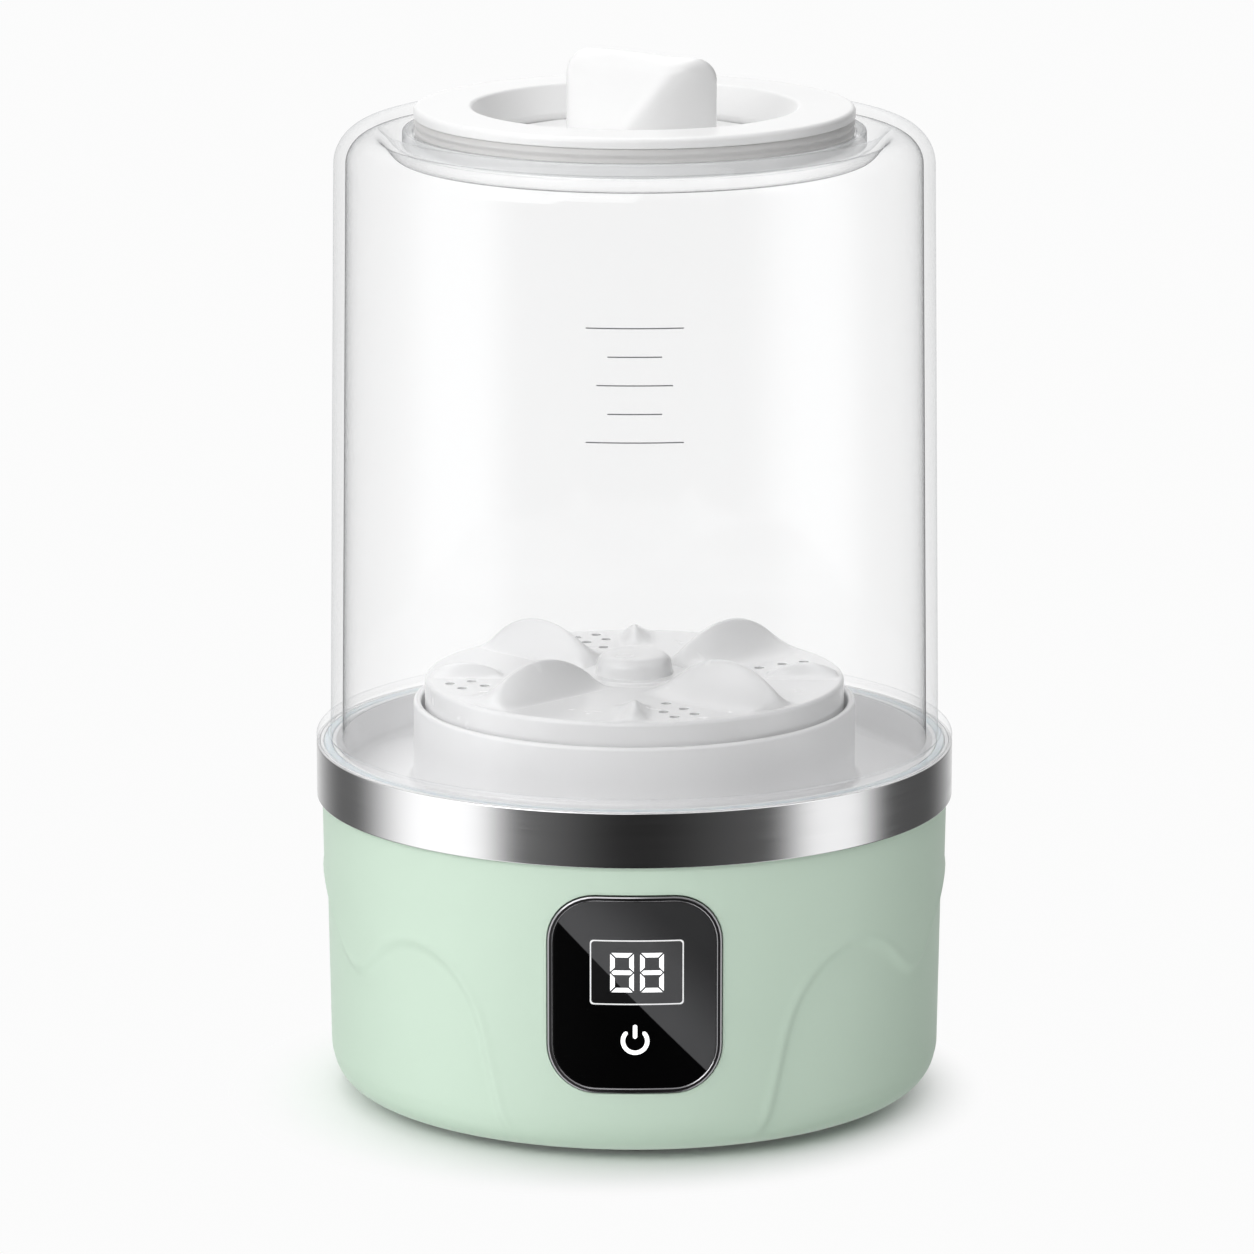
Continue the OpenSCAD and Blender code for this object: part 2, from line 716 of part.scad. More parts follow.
// A ridge along +X from r0 to r1, with a round crest and hollow flanks, rising from the plane z = 0
module ridge(r0, r1, half_w, h, n = 12) {
    root = 0.4;
    sink = 1.2;
    function across(j) = pow(max(0, cos(90 * (2 * j / n - 1))), 2.1);
    function along(i) = pow(max(0, sin(180 * pow(i / n, 0.92))), 0.9);
    intersection() {
        translate([r0, 0, 0]) rotate([90, 0, 90]) linear_extrude(r1 - r0) polygon(concat(
            [for (j = [0:n]) [half_w * (2 * j / n - 1), (h + root) * across(j) - root]],
            [[half_w, -sink], [-half_w, -sink]]
        ));
        translate([0, half_w, 0]) rotate([90, 0, 0]) linear_extrude(2 * half_w) polygon(concat(
            [for (i = [0:n]) [r0 + (r1 - r0) * i / n, (h + root) * along(i) - root]],
            [[r1, -sink], [r0, -sink]]
        ));
    }
}

module outer_shell() {
    inner_fillet_r = shell_wall > shell_fillet - 2 ? 2 : shell_fillet - shell_wall;
    foot_center_r = shell_foot_r - shell_fillet;
    floor_z = cover_z1 + shell_lip_t;
    color("#cfe3d4") difference() {
        union() {
            rotate_extrude() polygon(concat(
                [[cover_recess_r, shell_z0]],
                arc(foot_center_r, fillet_z, shell_fillet, -90, 0),
                [[shell_top_r, shell_z1], [shell_inner_top_r, shell_z1]],
                arc(foot_center_r, floor_z + inner_fillet_r, inner_fillet_r, 0, -90),
                [[lip_r, floor_z], [lip_r, cover_z1], [cover_recess_r, cover_z1]]
            ));
            for (x = board_boss_xs, z = board_boss_zs) board_boss(x, z);
        }
        intersection() {
            shell_skin(-panel_seat_depth, cut);
            front_prism(bezel_w + 2 * pocket_gap, bezel_h + 2 * pocket_gap,
                bezel_corner_r + pocket_gap, panel_z, -band_r - cut, -band_r / 2);
        }
        front_prism(bezel_w - 2 * panel_ledge, bezel_h - 2 * panel_ledge,
            bezel_corner_r - panel_ledge, panel_z, -band_r - cut, board_y);
        for (x = board_boss_xs, z = board_boss_zs)
            translate([x, board_y + cut, z]) rotate([90, 0, 0])
                cylinder(r = small_screw_r + thread_gap, h = cut + small_screw_l - board_t + pocket_gap);
        front_prism(inlet_w + 2 * pocket_gap, inlet_h + 2 * pocket_gap, 2, inlet_z, band_r / 2, band_r);
    }
}

// A boss inside the shell that reaches from its wall to the control board
module board_boss(x, z) {
    intersection() {
        translate([x, board_y, z]) rotate([90, 0, 0]) cylinder(r = board_boss_r, h = band_r + board_y);
        shell_skin(-band_r / 2, -shell_wall / 2 - panel_seat_depth / 2);
    }
}

module steel_band() {
    edge = band_t / 3;
    color("#8c8c8c") translate([0, 0, shell_z1]) rotate_extrude() polygon([
        [band_r - band_t, 0], [band_r - edge, 0], [band_r, edge], [band_r, band_h - edge],
        [band_r - edge, band_h], [band_r - band_t, band_h]
    ]);
}

module deck() {
    groove_in = jar_seal_r - seal_groove_w / 2;
    groove_out = jar_seal_r + seal_groove_w / 2;
    color("#f4f4f4") difference() {
        union() {
            rotate_extrude() polygon(concat(
                [
                    [bush_r + glue_gap, bush_boss_z], [bush_boss_r, bush_boss_z],
                    [bush_boss_r, cup_z0], [seat_ir, cup_z0], [seat_ir, tray_z0],
                    [spigot_inner_r, tray_z0], [spigot_inner_r, shell_z1 - spigot_h],
                    [spigot_r, shell_z1 - spigot_h], [spigot_r, shell_z1], [deck_r, shell_z1],
                    [deck_r, band_z1], [groove_out, band_z1], [groove_out, band_z1 - jar_seal_depth],
                    [groove_in, band_z1 - jar_seal_depth], [groove_in, band_z1], [tray_r, band_z1],
                    [tray_r, tray_z], [seat_r, tray_z]
                ],
                arc(seat_r - seat_t / 2, seat_z1 - seat_t / 2, seat_t / 2, 0, 180, 6),
                [
                    [seat_ir, cup_z], [shaft_seal_r + glue_gap, cup_z],
                    [shaft_seal_r + glue_gap, shaft_seal_z], [bush_r + glue_gap, shaft_seal_z]
                ]
            ));
            for (a = post_angles) rotate(a) translate([post_circle_r, 0, cover_z1])
                cylinder(r = post_r, h = tray_z0 + tray_t / 2 - cover_z1);
            for (a = side_angles) rotate(a) translate([heater_boss_circle_r, 0, heater_boss_z])
                cylinder(r = heater_boss_r, h = tray_z0 + tray_t / 2 - heater_boss_z);
            for (a = hanger_angles) rotate(a)
                translate([hanger_circle_r, 0, cup_z0 - hanger_boss_h])
                    cylinder(r = hanger_r, h = hanger_boss_h + cup_t / 2);
        }
        for (a = post_angles) rotate(a) translate([post_circle_r, 0, cover_z1 - cut])
            cylinder(r = case_screw_r + thread_gap, h = case_screw_l + 2 * cut);
        for (a = side_angles) rotate(a) translate([heater_boss_circle_r, 0, heater_boss_z - cut])
            cylinder(r = heater_screw_r + thread_gap, h = cut + heater_screw_l + pocket_gap);
        for (a = hanger_angles) rotate(a)
            translate([hanger_circle_r, 0, cup_z0 - hanger_boss_h - cut])
                cylinder(r = small_screw_r + thread_gap, h = cut + hanger_stud_l + pocket_gap);
    }
}

module jar_seal() {
    color("#e9e9e9") translate([0, 0, band_z1 - jar_seal_depth])
        ring(jar_seal_r - jar_seal_w / 2, jar_seal_r + jar_seal_w / 2,
            jar_seal_depth + jar_seat_gap - seal_gap);
}

module bottom_cover() {
    color("#e6ebe6") difference() {
        union() {
            translate([0, 0, shell_z0]) cylinder(r = cover_r, h = cover_t);
            for (x = power_pillar_xs, y = power_pillar_ys) translate([x, y, shell_z0 + cover_t / 2])
                cylinder(r = power_pillar_r, h = power_z - shell_z0 - cover_t / 2);
        }
        for (a = post_angles) rotate(a) translate([post_circle_r, 0, shell_z0]) {
            translate([0, 0, -cut]) cylinder(r = case_screw_r + thread_gap, h = cover_t + 2 * cut);
            translate([0, 0, -cut]) cylinder(r = case_head_r + pocket_gap, h = cut + case_pocket);
        }
        for (a = side_angles) rotate(a) translate([foot_circle_r, 0, shell_z0]) {
            translate([0, 0, -cut]) cylinder(r = foot_r + glue_gap, h = cut + foot_pocket);
            translate([0, 0, -cut]) cylinder(r = foot_stem_r + glue_gap, h = cover_t + 2 * cut);
        }
        for (x = power_pillar_xs, y = power_pillar_ys)
            translate([x, y, power_top_z - small_screw_l - pocket_gap])
                cylinder(r = small_screw_r + thread_gap, h = small_screw_l + cut);
    }
}

module rubber_feet() {
    edge = foot_lift / 4;
    color("#3c3c3c") for (a = side_angles) rotate(a) translate([foot_circle_r, 0, 0])
        rotate_extrude() polygon([
            [0, 0], [foot_r - edge, 0], [foot_r, edge], [foot_r, foot_lift + foot_pocket],
            [foot_stem_r, foot_lift + foot_pocket], [foot_stem_r, cover_z1],
            [foot_barb_r, cover_z1], [foot_stem_r, cover_z1 + foot_barb_h],
            [0, cover_z1 + foot_barb_h]
        ]);
}

module case_screws() {
    color("#b0b0b0") for (a = post_angles) rotate(a)
        translate([post_circle_r, 0, shell_z0 + case_pocket - case_head_h])
            screw(case_screw_r, case_head_r, case_head_h, case_screw_l);
}

module panel_bezel() {
    color("#5a5a5c") intersection() {
        shell_skin(glue_gap - panel_seat_depth, bezel_proud);
        difference() {
            front_prism(bezel_w, bezel_h, bezel_corner_r, panel_z, -band_r - cut, -band_r / 2);
            front_prism(glass_w + 2 * glue_gap, glass_h + 2 * glue_gap, glass_corner_r + glue_gap,
                panel_z, -band_r - 2 * cut, -band_r / 2 + cut);
        }
    }
}

module panel_glass() {
    color("#101012") intersection() {
        shell_skin(glue_gap - panel_seat_depth, glass_proud);
        front_prism(glass_w, glass_h, glass_corner_r, panel_z, -band_r - cut, -band_r / 2);
    }
}

module display_module() {
    pocket = 1;
    color("#2a2a2e") difference() {
        translate([-display_w / 2, display_y, display_z - display_h / 2])
            cube([display_w, board_y - display_y, display_h]);
        translate([pocket - display_w / 2, display_y - cut, display_z - display_h / 2 + pocket])
            cube([display_w - 2 * pocket, cut + pocket, display_h - 2 * pocket]);
    }
}

module touch_electrode() {
    color("#c8a24a") translate([0, board_y, touch_z]) rotate([90, 0, 0]) {
        ring(touch_spring_r - touch_spring_t, touch_spring_r, board_y - touch_y);
        translate([0, 0, board_y - touch_y - touch_pad_t]) cylinder(r = touch_pad_r, h = touch_pad_t);
    }
}

module control_board() {
    color("#2f6b3c") difference() {
        translate([-board_w / 2, board_y, panel_z - board_h / 2]) cube([board_w, board_t, board_h]);
        for (x = board_boss_xs, z = board_boss_zs)
            translate([x, board_y + board_t + cut, z]) rotate([90, 0, 0])
                cylinder(r = small_screw_r + thread_gap, h = board_t + 2 * cut);
    }
}

// The parts on the back of the control board: chip, buzzer, cable header and two capacitors
module control_board_parts() {
    chip = [12, 1.6, 9];
    header = [ribbon_w + 3, 5, 5];
    buzzer_r = 4.5;
    buzzer_h = 5;
    capacitor_r = 2.5;
    capacitor_h = 6;
    color("#333333") translate([0, board_y + board_t, 0]) {
        translate([-chip[0] / 2, 0, panel_z - chip[2] / 2]) cube(chip);
        difference() {
            translate([-header[0] / 2, 0, control_header_z()]) cube(header);
            translate([-ribbon_w / 2 - glue_gap, header[1] - 3, control_header_z() - cut])
                cube([ribbon_w + 2 * glue_gap, ribbon_t + 2 * glue_gap, header[2] - 1 + cut]);
        }
        translate([-10, 0, panel_z + 13]) rotate([-90, 0, 0]) cylinder(r = buzzer_r, h = buzzer_h);
        for (x = [6, 13]) translate([x, 0, panel_z + 12]) rotate([-90, 0, 0])
            cylinder(r = capacitor_r, h = capacitor_h);
    }
}

// Height of the underside of the control board's cable header
function control_header_z() = panel_z - board_h / 2 + 5;

module control_board_screws() {
    color("#b0b0b0") for (x = board_boss_xs, z = board_boss_zs)
        translate([x, board_y + board_t + small_head_h, z]) rotate([90, 0, 0]) small_screw();
}

module power_board() {
    color("#2f6b3c") difference() {
        translate([-power_l / 2, -power_w / 2 - power_shift, power_z]) cube([power_l, power_w, board_t]);
        for (x = power_pillar_xs, y = power_pillar_ys) translate([x, y, power_z - cut])
            cylinder(r = small_screw_r + thread_gap, h = board_t + 2 * cut);
    }
}

// Places on the power board, given from its centre
function on_power_board(x, y) = [x, y - power_shift, power_top_z];

// The parts on the power board: transformer, relay, capacitor, cable header and terminal block
module power_board_parts() {
    transformer = [28, 24];
    core = 8;
    relay = [19, 15, 15];
    header = [ribbon_w + 3, 5, 5];
    block = [18, 8, 9];
    capacitor_r = 4.5;
    capacitor_h = 15;
    color("#333333") {
        translate(on_power_board(17, -2)) {
            translate([-transformer[0] / 2, -core, 0]) cube([transformer[0], 2 * core, transformer_h]);
            translate([-core, -transformer[1] / 2, 2]) cube([2 * core, transformer[1], transformer_h - 4]);
        }
        translate(on_power_board(-24, -16)) cube(relay);
        translate(on_power_board(-8, 5)) cylinder(r = capacitor_r, h = capacitor_h);
        difference() {
            translate(on_power_board(-header[0] / 2, -22)) cube(header);
            translate(on_power_board(-ribbon_w / 2 - glue_gap, -20))
                translate([0, 0, 2]) cube([ribbon_w + 2 * glue_gap, ribbon_t + 2 * glue_gap, header[2]]);
        }
        translate(on_power_board(-26, 12)) cube(block);
    }
}

module power_board_screws() {
    color("#b0b0b0") for (x = power_pillar_xs, y = power_pillar_ys)
        translate([x, y, power_top_z + small_head_h]) rotate([180, 0, 0]) small_screw();
}

module power_inlet() {
    corner = 2;
    face_y = inlet_y + inlet_flange_t / 2;
    color("#202020") difference() {
        union() {
            front_prism(inlet_w, inlet_h, corner, inlet_z, face_y - inlet_flange_t - inlet_depth, face_y);
            difference() {
                front_prism(inlet_w + 2 * inlet_flange, inlet_h + 2 * inlet_flange, corner + inlet_flange,
                    inlet_z, face_y - inlet_flange_t - cut, face_y);
                shell_skin(-band_r / 2, glue_gap);
            }
        }
        front_prism(socket_w, socket_h, socket_h / 2 - 0.01, inlet_z, face_y - socket_depth, face_y + cut);
        for (x = [-pin_pitch / 2, pin_pitch / 2])
            translate([x, face_y, inlet_z]) rotate([90, 0, 0])
                cylinder(r = pin_r + glue_gap, h = inlet_flange_t + inlet_depth + cut);
    }
}

module inlet_pins() {
    face_y = inlet_y + inlet_flange_t / 2;
    back_y = face_y - inlet_flange_t - inlet_depth;
    tip_y = face_y - socket_depth + pin_l;
    color("#c9c2a8") for (x = [-pin_pitch / 2, pin_pitch / 2])
        translate([x, tip_y, inlet_z]) rotate([90, 0, 0]) {
            cylinder(r1 = pin_r / 2, r2 = pin_r, h = pin_r);
            translate([0, 0, pin_r]) cylinder(r = pin_r, h = tip_y - back_y + pin_tail - pin_r);
        }
}

module heater_plate() {
    color("#c9ccd0") translate([0, 0, plate_under_z]) difference() {
        ring(heater_plate_ir, heater_plate_or, heater_plate_t);
        for (a = post_angles) rotate(a) translate([post_circle_r, 0, -cut])
            cylinder(r = post_r + pocket_gap, h = heater_plate_t + 2 * cut);
        for (a = side_angles) rotate(a) translate([heater_boss_circle_r, 0, -cut])
            cylinder(r = heater_boss_r + pocket_gap, h = heater_plate_t + 2 * cut);
    }
}

module heating_element() {
    tab_t = 0.8;
    tab_w = 3;
    color("#8f8a86") {
        difference() {
            translate([0, 0, element_z0]) ring(heater_r - heater_w / 2, heater_r + heater_w / 2, heater_h);
            translate([heater_r - heater_w, -heater_gap / 2, element_z0 - cut])
                cube([2 * heater_w, heater_gap, heater_h + 2 * cut]);
        }
        for (side = [-1, 1])
            translate([
                heater_r - tab_w / 2, side * (heater_gap / 2 + 2) - tab_t / 2, element_z0 - terminal_l
            ])
                cube([tab_w, tab_t, terminal_l + heater_h / 2]);
    }
}

module heater_screws() {
    color("#b0b0b0") for (a = side_angles) rotate(a)
        translate([heater_boss_circle_r, 0, heater_boss_z - small_head_h])
            screw(heater_screw_r, heater_boss_r + heater_screw_reach, small_head_h, heater_screw_l);
}

module temperature_sensor() {
    clip_l = 3;
    sensor_h = 4;
    color("#e8e8e0") rotate(22) translate([heater_boss_circle_r, 0, plate_under_z - sensor_h]) {
        translate([-sensor_w / 2, -sensor_l / 2, 0]) cube([sensor_w, sensor_l, sensor_h]);
        translate([-sensor_w / 2, -sensor_l / 2 - clip_l, sensor_h - 1])
            cube([sensor_w, sensor_l + 2 * clip_l, 1]);
    }
}

module thermal_fuse() {
    lead_r = 0.5;
    lead_l = 4;
    color("#c8c0b0") rotate(158) translate([heater_boss_circle_r, 0, plate_under_z - fuse_r])
        rotate([90, 0, 0]) {
            translate([0, 0, -fuse_l / 2]) cylinder(r = fuse_r, h = fuse_l);
            translate([0, 0, -fuse_l / 2 - lead_l]) cylinder(r = lead_r, h = fuse_l + 2 * lead_l);
        }
}

module gear_plate() {
    color("#a8abad") difference() {
        translate([0, 0, gear_plate_z0]) cylinder(r = gear_plate_r, h = gear_plate_t);
        translate([0, 0, gear_plate_z0 - cut]) {
            cylinder(r = bush_r + glue_gap, h = gear_plate_t + 2 * cut);
            translate(idler_pos) cylinder(r = idler_pin_r + glue_gap, h = gear_plate_t + 2 * cut);
            translate(motor_pos) {
                cylinder(r = motor_nose_r + glue_gap, h = gear_plate_t + 2 * cut);
                for (side = [-1, 1]) rotate(motor_screw_angle()) translate([side * motor_screw_d, 0])
                    cylinder(r = small_screw_r + thread_gap, h = gear_plate_t + 2 * cut);
            }
            for (a = hanger_angles) rotate(a) translate([hanger_circle_r, 0])
                cylinder(r = small_screw_r + thread_gap, h = gear_plate_t + 2 * cut);
            for (a = post_angles) rotate(a) translate([post_circle_r, 0])
                cylinder(r = post_r + 1, h = gear_plate_t + 2 * cut);
            for (place = cable_holes()) translate(place)
                cylinder(r = cable_hole_r, h = gear_plate_t + 2 * cut);
        }
    }
}

// The motor's two screws lie across the line from the idler
function motor_screw_angle() = motor_angle + 90;

// Centres of the gear plate's cable holes
function cable_holes() = [[38, 12], [12, -38]];

module plate_hangers() {
    color("#c9a24c") for (a = hanger_angles) rotate(a)
        translate([hanger_circle_r, 0, gear_plate_z]) difference() {
            union() {
                cylinder(r = hanger_r, h = cup_z0 - hanger_boss_h - gear_plate_z, $fn = 6);
                cylinder(r = small_screw_r, h = cup_z0 - hanger_boss_h - gear_plate_z + hanger_stud_l);
            }
            translate([0, 0, -cut])
                cylinder(r = small_screw_r + thread_gap, h = cut + small_screw_l - gear_plate_t + pocket_gap);
        }
}

module plate_screws() {
    color("#b0b0b0") for (a = hanger_angles) rotate(a)
        translate([hanger_circle_r, 0, gear_plate_z0 - small_head_h]) small_screw();
}

module lower_bush() {
    color("#b08a4a") {
        difference() {
            translate([0, 0, gear_plate_z - lower_bush_l])
                cylinder(r = bush_r, h = lower_bush_l + bush_flange_t);
            translate([0, 0, gear_plate_z - lower_bush_l - cut])
                cylinder(r = spindle_r + running_gap, h = lower_bush_l + bush_flange_t + 2 * cut);
        }
        translate([0, 0, gear_plate_z]) ring(bush_r, bush_flange_r, bush_flange_t);
    }
}

module upper_bush() {
    color("#b08a4a") rotate_extrude() polygon([
        [spindle_r + running_gap, upper_bush_z], [bush_flange_r, upper_bush_z],
        [bush_flange_r, bush_boss_z], [bush_r, bush_boss_z], [bush_r, shaft_seal_z],
        [spindle_r + running_gap, shaft_seal_z]
    ]);
}

module shaft_seal() {
    lip_w = 0.8;
    groove_w = 2;
    color("#404040") rotate_extrude() polygon([
        [spindle_r + running_gap + lip_w, shaft_seal_z + glue_gap],
        [shaft_seal_r, shaft_seal_z + glue_gap], [shaft_seal_r, cup_z],
        [spindle_r + lip_w + groove_w, cup_z],
        [spindle_r + lip_w + groove_w, cup_z - seal_lip_h],
        [spindle_r + running_gap + lip_w, cup_z - seal_lip_h], [spindle_r + running_gap + lip_w, cup_z],
        [spindle_r + running_gap, cup_z], [spindle_r + running_gap, cup_z - 2 * seal_lip_h]
    ]);
}

module idler_pin() {
    color("#9a9c9f") translate(idler_pos) difference() {
        union() {
            translate([0, 0, gear_plate_z0 - idler_head_h]) cylinder(r = idler_head_r, h = idler_head_h);
            translate([0, 0, gear_plate_z0]) cylinder(r = idler_pin_r, h = idler_pin_z1 - gear_plate_z0);
            translate([0, 0, gear_plate_z]) cylinder(r = idler_head_r, h = idler_lift - thrust_gap);
        }
        translate([0, 0, idler_clip_z - glue_gap])
            ring(idler_pin_r - clip_groove, idler_pin_r + cut, clip_t + 2 * glue_gap);
    }
}

module idler_clip() {
    color("#55585c") translate([idler_pos[0], idler_pos[1], idler_clip_z]) clip(idler_pin_r);
}

module idler_gear() {
    toward_spindle = idler_angle + 180;
    color("#e9e4d6") translate([idler_pos[0], idler_pos[1], idler_gear_z]) difference() {
        union() {
            rotate(motor_angle) gear(idler_teeth, gear_width);
            translate([0, 0, gear_width / 2]) rotate(toward_spindle + 180 / idler_pinion_teeth)
                gear(idler_pinion_teeth, idler_top_z - idler_gear_z - gear_width / 2);
        }
        translate([0, 0, -cut])
            cylinder(r = idler_pin_r + running_gap, h = idler_top_z - idler_gear_z + 2 * cut);
    }
}

module motor_can() {
    color("#9fa3a6") translate([motor_pos[0], motor_pos[1], motor_z]) difference() {
        union() {
            cylinder(r = motor_r, h = motor_l);
            cylinder(r = motor_nose_r, h = motor_l + gear_plate_t);
        }
        translate([0, 0, motor_l - motor_shaft_in])
            cylinder(r = motor_shaft_r + running_gap, h = motor_shaft_in + gear_plate_t + cut);
        for (side = [-1, 1]) rotate(motor_screw_angle())
            translate([side * motor_screw_d, 0, motor_l - motor_screw_l - pocket_gap])
                cylinder(r = small_screw_r + thread_gap, h = motor_screw_l + pocket_gap + cut);
    }
}

module motor_end_cap() {
    rim = 0.7;
    color("#2b2b2b") translate([motor_pos[0], motor_pos[1], motor_z - motor_cap_t]) difference() {
        cylinder(r = motor_r - rim, h = motor_cap_t);
        for (side = [-1, 1]) rotate(motor_angle) translate([side * motor_r / 2, 0, -cut])
            cylinder(r = wire_r + glue_gap, h = cut + motor_cap_t / 2);
    }
}

module motor_terminals() {
    color("#c9a24c") translate([motor_pos[0], motor_pos[1], motor_z - motor_cap_t - motor_terminal_l])
        for (side = [-1, 1]) rotate(motor_angle) translate([side * motor_r / 2, 0])
            cylinder(r = wire_r, h = motor_terminal_l + motor_cap_t / 2);
}

module motor_screws() {
    color("#b0b0b0") translate(motor_pos) for (side = [-1, 1]) rotate(motor_screw_angle())
        translate([side * motor_screw_d, 0, gear_plate_z + small_head_h]) rotate([180, 0, 0])
            small_screw(gear_plate_t + motor_screw_l);
}

module motor_shaft() {
    color("#b9bcc0") translate([motor_pos[0], motor_pos[1], gear_plate_z0 - motor_shaft_in + pocket_gap])
        cylinder(r = motor_shaft_r,
            h = idler_pinion_z + 2 * pinion_margin - gear_plate_z0 + motor_shaft_in - pocket_gap);
}

module motor_pinion() {
    toward_idler = motor_angle + 180;
    color("#c9a24c") translate([motor_pos[0], motor_pos[1], idler_gear_z - pinion_margin]) difference() {
        rotate(toward_idler + 180 / motor_teeth) gear(motor_teeth, gear_width + 2 * pinion_margin);
        translate([0, 0, -cut])
            cylinder(r = motor_shaft_r + glue_gap, h = gear_width + 2 * pinion_margin + 2 * cut);
    }
}

module spindle() {
    bevel = 0.6;
    color("#b9bcc0") difference() {
        union() {
            translate([0, 0, spindle_z0]) cylinder(r1 = spindle_r - bevel, r2 = spindle_r, h = bevel);
            translate([0, 0, spindle_z0 + bevel]) cylinder(r = spindle_r, h = hex_z - spindle_z0 - bevel);
            translate([0, 0, hex_z]) cylinder(r = hex_r, h = hex_h, $fn = 6);
        }
        translate([0, 0, spindle_clip_z - glue_gap])
            ring(spindle_r - clip_groove, spindle_r + cut, clip_t + 2 * glue_gap);
    }
}

module spindle_gear() {
    web_t = 2;
    web_r0 = spindle_hub_r + 1.5;
    web_r1 = gear_module * spindle_teeth / 2 - 3.5;
    color("#e9e4d6") difference() {
        union() {
            translate([0, 0, spindle_gear_z]) rotate(idler_angle) gear(spindle_teeth, gear_width);
            translate([0, 0, spindle_hub_z]) cylinder(r = spindle_hub_r, h = spindle_hub_z1 - spindle_hub_z);
        }
        translate([0, 0, spindle_gear_z + web_t]) ring(web_r0, web_r1, gear_width);
        translate([0, 0, spindle_hub_z - cut])
            cylinder(r = spindle_r + glue_gap, h = spindle_hub_z1 - spindle_hub_z + 2 * cut);
    }
}

module thrust_washer() {
    color("#d8d8d8") translate([0, 0, washer_z]) ring(spindle_r + glue_gap, bush_r, washer_t);
}

module spindle_clip() {
    color("#55585c") translate([0, 0, spindle_clip_z]) clip(spindle_r);
}

// Holes of one quarter of the disc: distance from the axis and angle past the small fin
function disc_holes() = [[38.8, 10], [36.9, 18], [44.2, 12], [42.6, 19], [30.5, 14]];

module agitator_disc() {
    under_z = disc_z - disc_t;
    boss_z = hex_z + gear_bottom_clear;
    hub_edge = 1.4;
    socket_r = hex_r + pocket_gap;
    color("#f7f7f7") union() {
        difference() {
            rotate_extrude() polygon(concat(
                [
                    [0, boss_z], [socket_boss_r, boss_z], [socket_boss_r, under_z],
                    [disc_r - disc_skirt_t, under_z], [disc_r - disc_skirt_t, disc_z - disc_skirt_h],
                    [disc_r, disc_z - disc_skirt_h]
                ],
                arc(disc_r - 1, disc_z - 1, 1, 0, 90, 4),
                [
                    [hub_step_r, disc_z], [hub_step_r - hub_step_h, disc_z + hub_step_h],
                    [hub_r, disc_z + hub_step_h]
                ],
                arc(hub_top_r, disc_z + hub_h - hub_edge, hub_edge, 0, 90, 4),
                [[0, disc_z + hub_h]]
            ));
            translate([0, 0, boss_z - cut])
                cylinder(r = socket_r, h = hex_z1 + socket_gap - boss_z + cut, $fn = 6);
            for (quarter = side_angles, hole = disc_holes())
                rotate(quarter + hole[1]) translate([hole[0], 0, under_z - cut])
                    cylinder(r = disc_hole_r, h = disc_t + 2 * cut, $fn = 24);
        }
        for (a = post_angles) rotate(a) translate([0, 0, disc_z])
            ridge(vane_r0, vane_r1, vane_half_w, vane_h);
        for (a = side_angles) rotate(a) translate([0, 0, disc_z])
            ridge(fin_r0, fin_r1, fin_half_w, fin_h, 8);
    }
}

// The shoulder between the gutter and its crest, shifted down by drop, sampled outward
function shoulder_curve(drop, n = 8) =
    let (r0 = collar_r + gutter_w, r1 = shoulder_center_r())
    [for (i = [0:n]) [r0 + (r1 - r0) * i / n, gutter_z - drop + gutter_d * (1 - cos(180 * i / n)) / 2]];

function shoulder_center_r() = jar_r - jar_taper - shoulder_r;

module jar() {
    roll = jar_foot_t / 2;
    channel_in = band_r - 2 * roll - foot_channel_w;
    center_z = crest_z - shoulder_r;
    collar_ir = collar_r - collar_t;
    inner_r = jar_r - jar_wall;
    under = shoulder_curve(shoulder_t);
    color([0.95, 0.97, 0.98, 0.35]) rotate_extrude() polygon(concat(
        [[inner_r, jar_z0]],
        arc(band_r - roll, jar_z0 + roll, roll, -90, 90, 8),
        [
            [channel_in + foot_channel_w / 2, jar_foot_z1 - foot_channel_d],
            [jar_r, jar_foot_z1 - foot_channel_d], [jar_r, jar_foot_z1 + roll / 2]
        ],
        arc(shoulder_center_r(), center_z, shoulder_r, 0, 84, 8),
        [for (i = [8:-1:0]) shoulder_curve(0)[i]],
        [
            [collar_r, gutter_z], [collar_r, gutter_z + collar_h - 0.6],
            [collar_r - 0.6, gutter_z + collar_h], [collar_ir + 0.6, gutter_z + collar_h],
            [collar_ir, gutter_z + collar_h - 0.6], [collar_ir, ledge_z],
            [collar_ir - ledge_w, ledge_z], [collar_ir - ledge_w, ledge_z - shoulder_t]
        ],
        under,
        arc(shoulder_center_r(), crest_z - shoulder_t - (shoulder_r - jar_wall),
            shoulder_r - jar_wall, 84, 0, 8)
    ));
}

module lid() {
    plug_r = collar_r - collar_t - pocket_gap - gasket_t;
    color("#fafafa") rotate_extrude() polygon(concat(
        [[0, recess_z], [recess_floor_r, recess_z], [recess_r, lid_z1]],
        arc(lid_r - lid_edge_r, lid_z1 - lid_edge_r, lid_edge_r, 90, 0, 6),
        [
            [lid_r, lid_flange_z], [plug_r, lid_flange_z], [plug_r, lid_z0], [plug_r - lid_wall, lid_z0],
            [plug_r - lid_wall, lid_z1 - lid_wall], [recess_r + lid_wall, lid_z1 - lid_wall],
            [recess_floor_r + lid_wall, recess_z - lid_wall], [0, recess_z - lid_wall]
        ]
    ));
}

module lid_gasket() {
    outer_r = collar_r - collar_t - pocket_gap;
    inner_r = outer_r - gasket_t + glue_gap;
    color("#cfd2d4") translate([0, 0, lid_z0 + pocket_gap])
        ring(inner_r, outer_r, lid_flange_z - lid_z0 - pocket_gap - glue_gap);
}

